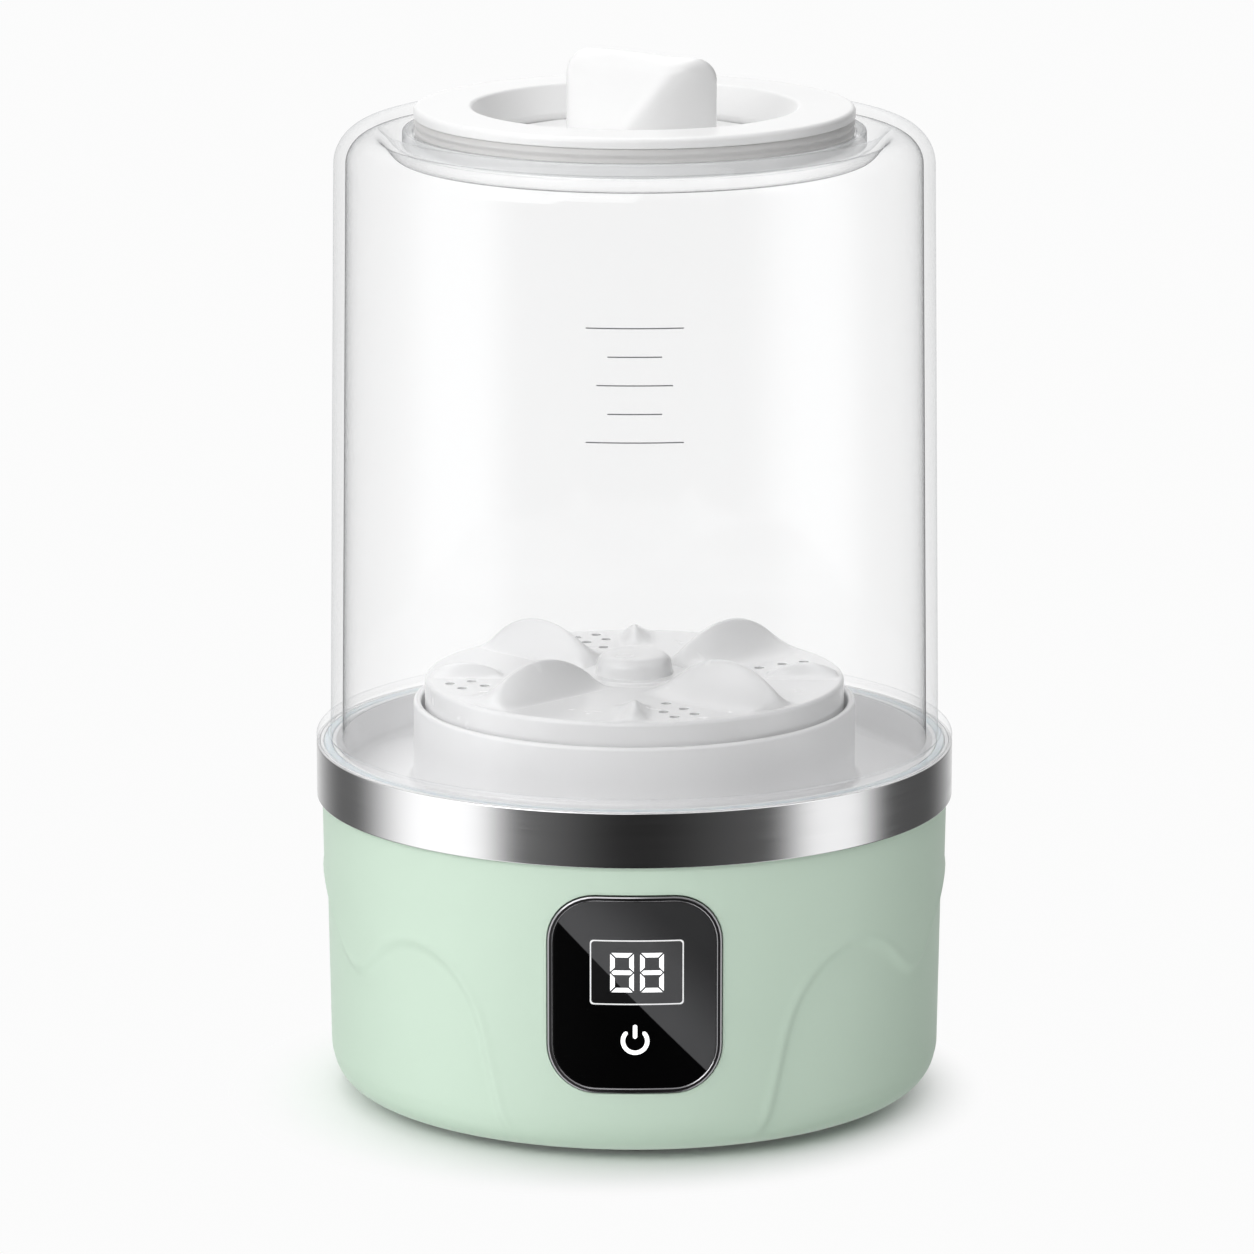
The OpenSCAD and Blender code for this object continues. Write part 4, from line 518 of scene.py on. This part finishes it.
# Deck. A white moulding that carries everything. It is the tray, the round seat in its middle, the
# cup floor inside the seat, and under it the posts and bosses that the rest screws to.
deck_finish = moulded(
    "white_moulding", (0.88, 0.88, 0.885), 0.3, Coat_Weight=0.15, Coat_Roughness=0.2)
deck_profile = rounded([
    (7.05, 64.8, 0.1), (11, 64.8, 0.4), (11, 77.8, 0.5), (50.3, 77.8, 0.5), (50.3, 73, 0.3),
    (68.97, 73, 0.4), (68.97, 66, 0.3), (70.77, 66, 0.3), (70.77, shell_top, 0.2),
    (74.15, shell_top, 0.2), (74.15, deck_top, 0.2), (73.35, deck_top, 0.1), (73.35, 82.8, 0.1),
    (71.25, 82.8, 0.1), (71.25, deck_top, 0.15), (70.2, deck_top, 0.35), (70.2, 75.1, 2.2),
    (52.1, 75.1, 1.6),
    (52.1, 94.05, 0.85), (50.3, 94.05, 0.85), (50.3, 80, 1.2), (8.55, 80, 0.2), (8.55, 74, 0.1),
    (7.05, 74, 0.1)
])
post_turns = np.radians([45, 135, 225, 315])
side_turns = np.radians([0, 90, 180, 270])
hanger_turns = np.radians([85, 205, 325])


def posts(turns, out, radius, low, high, steps=24):
    """Round upright bars at a distance out from the axis."""
    foots = [(out * math.cos(a), out * math.sin(a)) for a in turns]
    return [round_bar(radius, (x, y, low), (x, y, high), steps) for x, y in foots]


deck_posts = (posts(post_turns, 55.5, 4, 4.4, 74) + posts(side_turns, 56.8, 2.4, 71.15, 74)
              + posts(hanger_turns, 46, 3.6, 71.8, 79))
piece("deck_moulding", joined(turned(deck_profile, 320), *deck_posts), deck_finish, "base",
      "white_plastic", "deck")

# Jar seal. A soft clear ring that lies in the groove of the deck's rim, under the jar's foot.
silicone = Finish("milky_silicone", (0.80, 0.81, 0.82), 0.45, Subsurface_Weight=0.2)
silicone.tone(silicone.noise(60, 2), 0.01)
silicone.bump(silicone.noise(1800, 2), 0.00001)
seal_profile = rounded([(71.3, 82.8, 0.3), (73.3, 82.8, 0.3), (73.3, 84.5, 0.6), (71.3, 84.5, 0.6)])
piece("rim_seal", turned(seal_profile), silicone, "base", "silicone", "jar_seal")

# Front panel. A dark chromed rim and a black glass, both bent to the drum and bonded in its seat.
# The glass carries a screen window, two lit digits and the touch mark of the power key, and a
# painted reflection in its colour.
bezel_finish = worked_metal(
    "dark_chrome", (0.30, 0.295, 0.305), 0.18, lines=2400, stretch=(1, 1, 1))
bezel_rows = rounded([
    (0, -1.35, 0.05), (0, 0.5, 0.12), (0.34, 0.68, 0.12), (0.9, 0.62, 0.1), (1.14, 0.44, 0.06),
    (1.16, -1.35, 0.02)
], steps=3, guard=0.3)
bezel_section = [(inset, 1, out) for inset, out in bezel_rows]
piece("panel_rim", front_solid(39.8, 46.5, 11, bezel_section, hollow=True), bezel_finish, "base",
      "bezel_metal", "panel_bezel", crease=60)

ink = (0.0012, 0.0012, 0.0013)
screen_x, screen_z = 0.5, 46.8
glass_finish = Finish("black_glass", ink, 0.05, Specular_IOR_Level=0.12)
x, _, z = glass_finish.place().parts()
x, z = x * 1000, z * 1000
# Painted reflection: the glass's colour is lighter in a diagonal wedge over its upper right,
# brightest near the wedge's edge, standing in for a reflection of the room. The screen window is a
# little lighter as well, and lighter still where the wedge crosses it.
slant = x + (z - panel_z) * 0.96
reflection_wedge = (slant + 1.2).step(-0.25, 0.25)
window = (1 - abs(x - screen_x).step(10.4, 10.6)) * (1 - abs(z - screen_z).step(7.3, 7.5))
near_edge = 1 - slant.step(2, 26)
painted_glare = 0.3 + 0.55 * near_edge + 0.2 * glass_finish.noise(45, 1)
window_and_painted_sheen = reflection_wedge * painted_glare + window * (0.1 + 0.25 * reflection_wedge)
glass_finish.feed("Base Color", glass_finish.blend(window_and_painted_sheen, (*ink, 1), (0.085, 0.085, 0.088, 1)))
glass_finish.feed("Roughness", glass_finish.noise(400, 3) * 0.03 + 0.035)
glass_rows = fill(-1.35, back=True)[:-1] + [
    (0, 1, -1.35), (0, 1, 0.1), (0, 1, 0.3), (0.06, 1, 0.41), (0.18, 1, 0.45), (0.5, 1, 0.45)
] + [(0.5, share, 0.45) for share in np.linspace(0.97, 0, 12)]
piece("touch_glass", front_solid(37.36, 44.06, 9.8, glass_rows), glass_finish, "base",
      "panel_black", "panel_glass", crease=60)


# Panel marks. The two digits and the frame of the screen glow from behind the glass, and the power
# mark is a lit print. Each is a film a few hundredths of a millimetre thick on the glass.
def film(upper, lower, closed=False, low=0.4, high=0.475):
    """A thin strip on the panel between two edges given as points across and up."""
    grid = np.stack([
        on_shell(upper[:, 0], upper[:, 1], low), on_shell(upper[:, 0], upper[:, 1], high),
        on_shell(lower[:, 0], lower[:, 1], high), on_shell(lower[:, 0], lower[:, 1], low)
    ], 1)
    if not closed:
        ends = grid.mean(1, keepdims=True) + 0 * grid
        grid = np.concatenate([ends[:1], grid, ends[-1:]])
    return grid_solid(grid, wrap_rows=closed)


def digit(x, z, width=5.4, height=9.3, thick=1.05, slit=0.27):
    """A lit figure eight. Each of its seven bars is a strip between two edges whose ends are cut at
    45 degrees, and a dark slit is left where two bars meet."""
    w, h, half_slit = width / 2, height / 2, 0.2
    share = np.linspace(0, 1, 6)[:, None]
    tip = np.array([0, 0.5, 1, 1, 1, 1, 0.5, 0])[:, None] * thick / 2
    left = w - slit - np.array([0, 0.25, 0.5, 1.5])[:, None] * thick
    reach = np.concatenate([left, -left[::-1]])
    bars = [film(np.hstack([x + reach, z + tip]), np.hstack([x + reach, z - tip]))]
    across, long = w - slit, h - slit - half_slit
    for up in (1, -1):
        outer = np.hstack([x + across * (2 * share - 1), z + up * (h + 0 * share)])
        run = x + (across - thick) * (2 * share - 1)
        inner = np.hstack([run, z + up * (h - thick + 0 * share)])
        bars.append(film(outer, inner))
        for side in (-1, 1):
            outer = np.hstack([x + side * (w + 0 * share), z + up * (half_slit + long * share)])
            rise = half_slit + thick + (long - 2 * thick) * share
            inner = np.hstack([x + side * (w - thick + 0 * share), z + up * rise])
            bars.append(film(outer, inner))
    return joined(*bars)


def round_ended(share, half, length):
    """Half the width of a line with round ends: half * sqrt(1 - e^2), where e falls from 1 at an
    end to 0 at a distance half from it."""
    from_end = np.minimum(share, 1 - share) * length / half
    return half * np.sqrt(np.clip(1 - np.clip(1 - from_end, 0, 1) ** 2, 0, 1))


glow_finish = Finish("lit_mark", (0.9, 0.9, 0.9), 0.4, Emission_Strength=0.75)
glow_finish.feed("Emission Color", glow_finish.blend(
    glow_finish.noise(900, 2), (0.94, 0.95, 0.96, 1), (1, 1, 1, 1)))
piece("screen_digits", joined(digit(-2.88, screen_z), digit(3.95, screen_z)), glow_finish, "base",
      "panel_black")
mark_middle = np.array([0.1, 30.6])
mark_r, mark_half, ring_l, stem_l = 2.78, 0.5, 9.21875, 3.4
share = np.linspace(0, 1, 60)[:, None]
turn = np.radians(-231 + 282 * share)
spokes = np.hstack([np.cos(turn), np.sin(turn)])
taper = round_ended(share, mark_half, ring_l)
power_ring = film(
    mark_middle + spokes * (mark_r + taper), mark_middle + spokes * (mark_r - taper))
share = np.linspace(0, 1, 15)[:, None]
stem = mark_middle + np.hstack([0 * share, 0.5 + share * stem_l])
taper = np.hstack([round_ended(share, mark_half, stem_l), 0 * share])
power_stem = film(stem - taper, stem + taper)
piece("power_mark", joined(power_ring, power_stem), glow_finish, "base", "panel_black")
frame_finish = Finish("screen_line", (0.6, 0.6, 0.6), 0.4, Emission_Strength=0.45)
frame_finish.feed("Emission Color", frame_finish.blend(
    frame_finish.noise(700, 2), (0.80, 0.81, 0.82, 1), (0.92, 0.93, 0.94, 1)))
outer_line = front_outline(21.4, 15.3, 0.8, step=0.9)
inner_line = outer_line - np.sign(outer_line) * 0.3 * (np.abs(outer_line) > (9.8, 6.75))
screen = (screen_x, screen_z)
piece("screen_frame", film(outer_line + screen, inner_line + screen, closed=True), frame_finish,
      "base", "panel_black")


# Stirring disc. A white moulding that drops on the spindle's hexagon. Four tall vanes and four
# small fins sweep the milk, a hub covers the spindle, and groups of holes let the milk through.
disc_finish = moulded(
    "disc_moulding", (0.84, 0.84, 0.845), 0.26, Coat_Weight=0.2, Coat_Roughness=0.15)


def vane(r, a, r0, r1, reach, fall, height):
    """Height of a vane whose crest lies along angle 0. Along the crest it is a rounded rise from r0
    to r1. Across it, it is (1 - t)^fall, where t goes from 0 at the round crest to 1 at the reach
    of that side, so a flank is steep at the crest and runs out level."""
    along = np.clip((r * np.cos(a) - r0) / (r1 - r0), 0, 1)
    across = r * np.sin(a)
    far, power = (np.where(across > 0, *pair) for pair in (reach, fall))
    crest_r = 1.2
    t = np.clip((np.sqrt(across ** 2 + crest_r ** 2) - crest_r) / far, 0, 1)
    rise = np.sin(np.pi * along ** 1.08) ** 0.62
    return np.where(np.cos(a) > 0, height * np.nan_to_num(rise) * (1 - t) ** power, 0)


def disc_top(r, a):
    """Height of the disc's top above its face at radius r and angle a."""
    turn, step_r = math.pi / 2, 13
    top = vane(r, a % turn - turn / 2, 13, 47.9, (5.2, 12.5), (1.6, 2.1), 8.5)
    between = (a + turn / 2) % turn - turn / 2
    top = np.maximum(top, vane(r, between, 31, 48.4, (3.0, 4.6), (1.6, 1.9), 3.0))
    t = np.clip((step_r - r) / 0.9, 0, 1)
    return np.maximum(top, 0.7 * t * t * (3 - 2 * t))


def disc_rings(profile):
    """Rings of points at each radius and height of a profile."""
    radii, heights = np.array(profile)[:, :1], np.array(profile)[:, 1:]
    return np.stack([
        radii * np.cos(disc_turns), radii * np.sin(disc_turns), heights + 0 * disc_turns], -1)


disc_face, rim_r = 99.4, 48.4
disc_r = np.concatenate([
    [9.2, 9.6], np.linspace(10.4, 48.2, 92), rim_r + np.sin(np.radians(np.linspace(6, 90, 8)))])
disc_turns = np.linspace(0, 2 * math.pi, 640, endpoint=False)
edge_drop = 1 - np.sqrt(np.clip(1 - np.clip(disc_r - rim_r, 0, 1) ** 2, 0, 1))
r, a = np.meshgrid(disc_r, disc_turns, indexing="ij")
top = disc_face + disc_top(r, a) * np.clip((rim_r - r) / 0.8, 0, 1) - edge_drop[:, None]
hub = np.concatenate([
    [(0, 104.7), (2, 104.7), (4, 104.7)], arc(6.2, 102.0, 2.7, 90, 4, 10),
    [(8.94, 101.6), (9.0, 101.0), (9.06, 100.5)]])
under = rounded([
    (49.4, 87, 0.25), (47.4, 87, 0.25), (47.4, 97, 0.8), (7.5, 97, 0.5), (7.5, 84.4, 0.4),
    (4.1, 84.4, 0.15), (4.1, 101.3, 0.2)])
side_and_under = np.vstack([[(49.4, 98), (49.4, 92), (49.4, 87.6)], under, [(0, 101.3)]])
grid = np.concatenate([
    disc_rings(hub), np.stack([r * np.cos(a), r * np.sin(a), top], -1), disc_rings(side_and_under)])
disc = piece("stirring_disc", grid_solid(grid, wrap_rows=False), disc_finish, "agitator",
             "white_plastic", "agitator_disc", crease=42)
holes = []
for out, turn in ((38.8, 10), (36.9, 18), (44.2, 12), (42.6, 19), (30.5, 14)):
    holes += posts(np.radians(turn + np.array([0, 90, 180, 270])), out, 1.2, 95, 103, 20)
cut_out(disc, joined(*holes), crease=42)

# Jar. Clear food grade plastic, blown and trimmed. Its foot is a rolled edge with a channel, its
# wall narrows a little to a round shoulder, and a collar stands in a gutter and carries the lid.
# Painted shade and painted highlight: where the wall is seen edge on, the jar's colour turns nearly
# black and the wall turns more opaque, more so on its inner side. Both walls therefore draw dark
# lines that stand in for the darkness that refraction shows at a clear wall's edge. The collar's
# outer face is made half opaque and pale, a painted highlight on it. Only the even 0.02 of opacity
# is the plastic's own faint milkiness.
seen_flat, painted_edge_shade = (0.86, 0.87, 0.88), (0.07, 0.072, 0.075)
jar_finish = Finish("clear_jar", seen_flat, 0.06, Specular_IOR_Level=0.0)
facing = jar_finish.node("ShaderNodeLayerWeight", {0: 0.5}, out=1)
inside = jar_finish.node("ShaderNodeAttribute", out="Fac", attribute_name="inside")
collar = jar_finish.node("ShaderNodeAttribute", out="Fac", attribute_name="collar")
haze_and_painted_light = 0.02 + facing ** 5 * 0.07 + facing ** 12 * 0.4 + facing ** 8 * inside * 0.75 + collar * 0.55
jar_finish.feed("Alpha", haze_and_painted_light)
jar_finish.feed("Base Color", jar_finish.blend(facing ** 3, (*seen_flat, 1), (*painted_edge_shade, 1)))
jar_finish.bump(jar_finish.noise(22, 1), 0.00006)
gloss = jar_finish.node("ShaderNodeBsdfGlossy", {"Color": (0.95, 0.96, 0.97, 1), "Roughness": 0.03})
skin = 0.02 + facing ** 6 * (0.35 + 0.15 * jar_finish.noise(12, 2)) * (1 - 0.9 * inside)
layers = {0: skin, 1: Flow(jar_finish, jar_finish.shader.outputs[0]), 2: gloss}
glossy_over = jar_finish.node("ShaderNodeMixShader", layers)
jar_finish.tree.links.new(glossy_over.socket, jar_finish.tree.nodes["Material Output"].inputs[0])


wall_foot, wall_top, wall_rise, wall_lean = 88.5, 221.4, 132, 1.73


def crest_line(drop, n=14):
    """The shoulder between the gutter and its crest, as half a cosine wave, moved down by drop."""
    t = np.linspace(0, 1, n + 1)
    return np.stack([54.6 + 6.0 * t, 225.8 - drop + 4.9 * (1 - np.cos(np.pi * t)) / 2], -1)


jar_inside = np.concatenate([
    crest_line(2.8)[1:], arc(60.6, wall_top, 6.5, 84, 0, 16),
    [(67.1 + wall_lean * k, wall_top - 133 * k) for k in np.linspace(0.04, 1, 16)]
])
jar_section = np.concatenate([
    [(68.85, 84.9), (69.0, 84.6), (69.3, 84.6)], arc(73.7, 85.9, 1.3, -90, 90, 14),
    [(73.4, 87.2), (72.9, 87.2), (72.5, 87.1), (72.3, 86.6), (72.1, 86.25), (71.85, 86.2),
     (71.68, 86.5), (71.65, 87.2), (71.64, wall_foot)],
    [(71.64 - wall_lean * k, wall_foot + wall_rise * k) for k in np.linspace(0.04, 1, 16)],
    arc(60.6, wall_top, 9.3, 0, 84, 20), crest_line(0)[::-1][1:],
    [(54.1, 225.8), (53.95, 225.95), (53.9, 226.3), (53.9, 228.8)], arc(53.3, 228.9, 0.6, 0, 90, 5),
    arc(52.1, 228.9, 0.6, 90, 180, 5),
    [(51.5, 228.6), (51.5, 226.1), (51.35, 225.85), (51.1, 225.8)],
    [(46.9, 225.8), (46.6, 225.5), (46.6, 223.3), (46.9, 223.0)], jar_inside
])
jar = piece("clear_jar", turned(jar_section, 384), jar_finish, "jar", "clear_plastic", "jar",
            crease=70)
spots = np.empty(len(jar.data.vertices) * 3)
jar.data.vertices.foreach_get("co", spots)
spots = np.stack([np.hypot(spots[0::3], spots[1::3]), spots[2::3]], -1) / MM
nearest = np.argmin(((spots[:, None] - jar_section[None]) ** 2).sum(-1), axis=1)
first_inside = len(jar_section) - len(jar_inside)
inner = (nearest >= first_inside) | (nearest == 0)
on_collar = (spots[:, 0] > 53.2) & (spots[:, 0] < 54) & (spots[:, 1] > 226.2)
for name, mask in (("inside", inner), ("collar", on_collar)):
    jar.data.attributes.new(name, "FLOAT", "POINT").data.foreach_set("value", mask.astype(float))

# Fill marks. Five lines of grey ink, printed on the front of the jar's wall. They are evenly
# spaced, and every other one is longer.
mark_finish = Finish("grey_print", (0.16, 0.165, 0.17), 0.6)
mark_finish.tone(mark_finish.noise(1500, 2), 0.12)


def fill_mark(z, half, thick=0.28):
    """One printed line round the jar's front, as a film on the wall."""
    a = np.radians(np.linspace(-half, half, 24))[:, None]
    r = 71.64 - wall_lean * (z - wall_foot) / wall_rise
    ends = []
    for lift, dz in ((0.0, -thick / 2), (0.03, -thick / 2), (0.03, thick / 2), (0.0, thick / 2)):
        ends.append(np.hstack([(r + lift) * np.sin(a), -(r + lift) * np.cos(a), 0 * a + z + dz]))
    grid = np.stack(ends, 1)
    cap = grid.mean(1, keepdims=True) + 0 * grid
    return grid_solid(np.concatenate([cap[:1], grid, cap[-1:]]), wrap_rows=False)


piece("fill_marks", joined(*[fill_mark(z, half) for z, half in (
    (169, 9), (175.5, 5), (182, 7), (188.5, 5), (195, 9))]), mark_finish, "jar", "clear_plastic")

# Lid. A white moulding: a flange with a round edge, a plug that goes inside the jar's collar, and a
# dished recess that carries the grip.
lid_finish = moulded(
    "lid_moulding", (0.85, 0.85, 0.85), 0.32, Coat_Weight=0.15, Coat_Roughness=0.15)
lid_profile = rounded([
    (33.7, 227.8, 1.6), (38, 235, 1.2), (51.3, 235, 1.8), (51.3, 232.5, 0.35), (49.3, 232.5, 0.2),
    (49.3, 225.9, 0.4), (46.9, 225.9, 0.4), (46.9, 232.6, 0.8), (40.4, 232.6, 0.8),
    (36.1, 225.4, 0.8)
], steps=8)
lid_open = np.concatenate([
    [(0, 227.8), (8, 227.8), (20, 227.8), (30, 227.8)], lid_profile,
    [(30, 225.4), (15, 225.4), (0, 225.4)]])
piece("lid_moulding", turned(lid_open, 320, pole=True), lid_finish, "lid", "white_plastic", "lid")


# Grip. One thick twisted wing in the lid's recess, moulded with it. Its front half leans one way
# and its back half is the same turned half round, and every edge is soft.
def wing_front(x, u):
    """How far the grip reaches forward at height share u and sideways place x: a hollow on the left
    that swings over a soft ridge, further right the higher up it is, to a lobe that falls back."""
    ridge, start = -3.4 + 15.8 * u, -19 + 4 * u
    t = np.clip((x - start) / (ridge - start), 0, 1)
    past = np.clip((x - ridge) / (19 - ridge), 0, 1)
    hollow = 5 - 10 * u
    lobe = 10.8 + 1.6 * u - (5 - 2 * u) * past ** 1.6
    return hollow + (lobe - hollow) * t * t * (3 - 2 * t)


def wing(height=19.36, half_l=17.4, end_r=5.6, edge_r=3.6, columns=128):
    """The grip as rings of points, each a rounded box between its front and its back."""
    a = np.linspace(0, 2 * math.pi, columns, endpoint=False)
    c = np.sign(np.cos(a)) * np.abs(np.cos(a)) ** 0.8
    s = np.sign(np.sin(a)) * np.abs(np.sin(a)) ** 0.8
    levels = np.concatenate([np.linspace(0, height - end_r, 26),
                             height - end_r + end_r * np.sin(np.radians(np.linspace(4, 86, 22)))])
    grid = [np.stack([0 * a, 0 * a, 0 * a + levels[0]], -1)]
    for z in levels:
        u = z / height
        length = half_l - end_r + math.sqrt(max(0, end_r ** 2 - max(0, z - height + end_r) ** 2))
        inset = edge_r - math.sqrt(max(0, edge_r ** 2 - max(0, z - height + edge_r) ** 2))
        foot = 1.1 * max(0, 1 - z / 1.4) ** 2
        x = (length + foot) * c
        front, back = wing_front(x, u), wing_front(-x, u)
        middle, half = (back - front) / 2, np.maximum(0.5, (back + front) / 2 - inset + foot)
        grid.append(np.stack([x, middle + half * s, 0 * a + z], -1))
    last = grid[-1]
    x0 = last[:, 0]
    spine = (wing_front(-x0, 1.0) - wing_front(x0, 1.0)) / 2
    for share, lift in ((0.8, 0.004), (0.5, 0.008), (0.25, 0.01)):
        grid.append(np.stack([x0 * (0.9 + 0.1 * share), spine + (last[:, 1] - spine) * share,
                              last[:, 2] + lift], -1))
    top = grid[-1]
    grid.append(np.stack([top[:, 0] * 0.97, 0 * top[:, 0] + spine, top[:, 2]], -1))
    return np.stack(grid) + (1.6, 0, 227.8)


piece("twisted_grip", grid_solid(wing(), wrap_rows=False), lid_finish, "lid", "white_plastic",
      "lid_grip", crease=60)

# Lid gasket. A soft translucent sleeve round the lid's plug, with two low beads that press on the
# collar.
gasket_finish = Finish("gasket_silicone", (0.64, 0.635, 0.63), 0.4)
gasket_finish.tone(gasket_finish.noise(70, 2), 0.015)
gasket_finish.bump(gasket_finish.noise(1800, 2), 0.00001)
t = np.linspace(0, 3 * math.pi, 40)
beads = np.stack([50.75 + 0.4 * np.sin(t) ** 2, 226.5 + 5.6 * t / (3 * math.pi)], -1)
gasket_profile = np.concatenate([
    [(49.38, 226.3), (49.6, 226.2), (50.5, 226.2)], beads,
    [(50.6, 232.4), (49.6, 232.4), (49.38, 232.3)]])
piece("plug_gasket", turned(gasket_profile), gasket_finish, "lid", "silicone", "lid_gasket",
      crease=50)


# Everything else keeps its CAD shape and gets its finish here, by the material that it is made of.
def dress(finish, *nodes):
    """Gives CAD nodes a finish."""
    for node in nodes:
        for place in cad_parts[node].material_slots:
            place.material = finish.material


# Underside. The cover is a grey green moulding, screwed to the deck's posts. The feet are soft
# black rubber with a moulded matt skin, and their barbed stems are pressed into the cover.
cover = moulded("cover_moulding", (0.70, 0.74, 0.70), 0.5, grain=1800, depth=0.00002)
dress(cover, "bottom_cover")
rubber = Finish("foot_rubber", (0.045, 0.045, 0.047), 0.75)
rubber.tone(rubber.noise(120, 3), 0.15)
rubber.bump(rubber.noise(2200, 3), 0.00003)
dress(rubber, "rubber_feet")

# Screws. Zinc plated steel with a slightly uneven plating. Their heads are pressed and their
# threads rolled.
zinc = worked_metal("zinc_plate", (0.62, 0.63, 0.64), 0.32, stretch=(1, 1, 6))
dress(zinc, "case_screws", "control_board_screws", "power_board_screws", "heater_screws",
      "plate_screws", "motor_screws")

# Power inlet. A black moulding of tough plastic with a fine spark etched face, held in the shell's
# rear window, and plated brass pins.
black = moulded("black_moulding", (0.018, 0.018, 0.02), 0.45, grain=2000, depth=0.00003)
dress(black, "power_inlet", "motor_end_cap")
brass = worked_metal("plated_brass", (0.78, 0.62, 0.34), 0.28, stretch=(1, 12, 1))
dress(brass, "inlet_pins", "touch_electrode", "motor_terminals")

# Boards. Glass cloth laminate under green lacquer, with copper tracks that show as raised lines.
# They are screwed to bosses. Chips are moulded in dark epoxy, and the power parts in blue nylon.
board = Finish("board_lacquer", (0.018, 0.13, 0.06), 0.35)
tracks = board.node("ShaderNodeTexBrick", {
    "Scale": 380, "Color1": (0, 0, 0, 1), "Color2": (0.1, 0.1, 0.1, 1), "Mortar": (1, 1, 1, 1),
    "Mortar Size": 0.06, 0: board.place()}, out=1)
board.feed("Base Color", board.blend(tracks * 0.5, (0.018, 0.13, 0.06, 1), (0.06, 0.26, 0.12, 1)))
board.bump(tracks, 0.00004)
dress(board, "control_board", "power_board")
chip = moulded("chip_epoxy", (0.02, 0.02, 0.022), 0.5, grain=3200, depth=0.00002)
dress(chip, "control_board_parts", "display_module", "thermal_fuse")
wound = moulded("part_nylon", (0.06, 0.09, 0.20), 0.45, grain=1500, depth=0.00004)
dress(wound, "power_board_parts")

# Heater. A pressed aluminium plate, screwed under the deck, and a ring element in a magnesia
# filled metal sheath, dulled by heat.
alloy = worked_metal("aluminium_sheet", (0.80, 0.80, 0.81), 0.34, stretch=(1, 30, 1))
dress(alloy, "heater_plate", "plate_hangers")
sheath = worked_metal("heater_sheath", (0.42, 0.38, 0.34), 0.5, stretch=(1, 1, 20))
scale = sheath.noise(160, 4)
sheath.feed("Base Color", sheath.blend(scale, (0.36, 0.32, 0.28, 1), (0.50, 0.47, 0.44, 1)))
dress(sheath, "heating_element")
bead_white = moulded("sensor_ceramic", (0.80, 0.78, 0.74), 0.5, grain=2400, depth=0.00002)
dress(bead_white, "temperature_sensor")

# Drive. A zinc plated gear plate, bronze bushes, a ground steel spindle and pins, acetal gears, a
# spring steel clip on each shaft and a nitrile shaft seal.
sheet = worked_metal("zinc_sheet", (0.58, 0.59, 0.60), 0.4, stretch=(20, 1, 1))
sheet.tone(sheet.node("ShaderNodeTexVoronoi", {0: sheet.place(), "Scale": 90}, out=0), 0.10)
dress(sheet, "gear_plate", "motor_can")
bronze = worked_metal("sintered_bronze", (0.62, 0.42, 0.22), 0.42, lines=3000, stretch=(1, 1, 1))
dress(bronze, "lower_bush", "upper_bush")
ground = worked_metal("ground_steel", (0.70, 0.70, 0.71), 0.22, stretch=(1, 1, 60))
dress(ground, "spindle", "idler_pin", "motor_shaft", "thrust_washer")
spring = worked_metal("spring_steel", (0.20, 0.20, 0.22), 0.3)
dress(spring, "idler_clip", "spindle_clip")
acetal = moulded("acetal_gear", (0.76, 0.75, 0.70), 0.36, grain=1500, depth=0.00001)
dress(acetal, "spindle_gear", "idler_gear")
dress(brass, "motor_pinion")
nitrile = moulded("nitrile_lip", (0.04, 0.04, 0.042), 0.55, grain=1400, depth=0.00002)
dress(nitrile, "shaft_seal")

# Wires. Silicone sheathed strands in blue, red and black, and a grey flat cable with its ribs.
# Their ends are soldered or clamped, and the runs hang free between them.
sheaths = (
    ("blue", (0.02, 0.07, 0.42), "inlet_wires"), ("red", (0.45, 0.02, 0.02), "heater_wires"),
    ("black", (0.02, 0.02, 0.022), "motor_wires"))
for shade, color, node in sheaths:
    dress(moulded(f"{shade}_sheath", color, 0.45, grain=1200, depth=0.00003), node)
cable = Finish("flat_cable", (0.42, 0.43, 0.45), 0.5)
wave = cable.place().parts()[0] * 4900
ribs = wave.math("SINE", wave) * 0.5 + 0.5
cable.tone(ribs, 0.08)
cable.bump(ribs, 0.00015)
dress(cable, "board_ribbon")
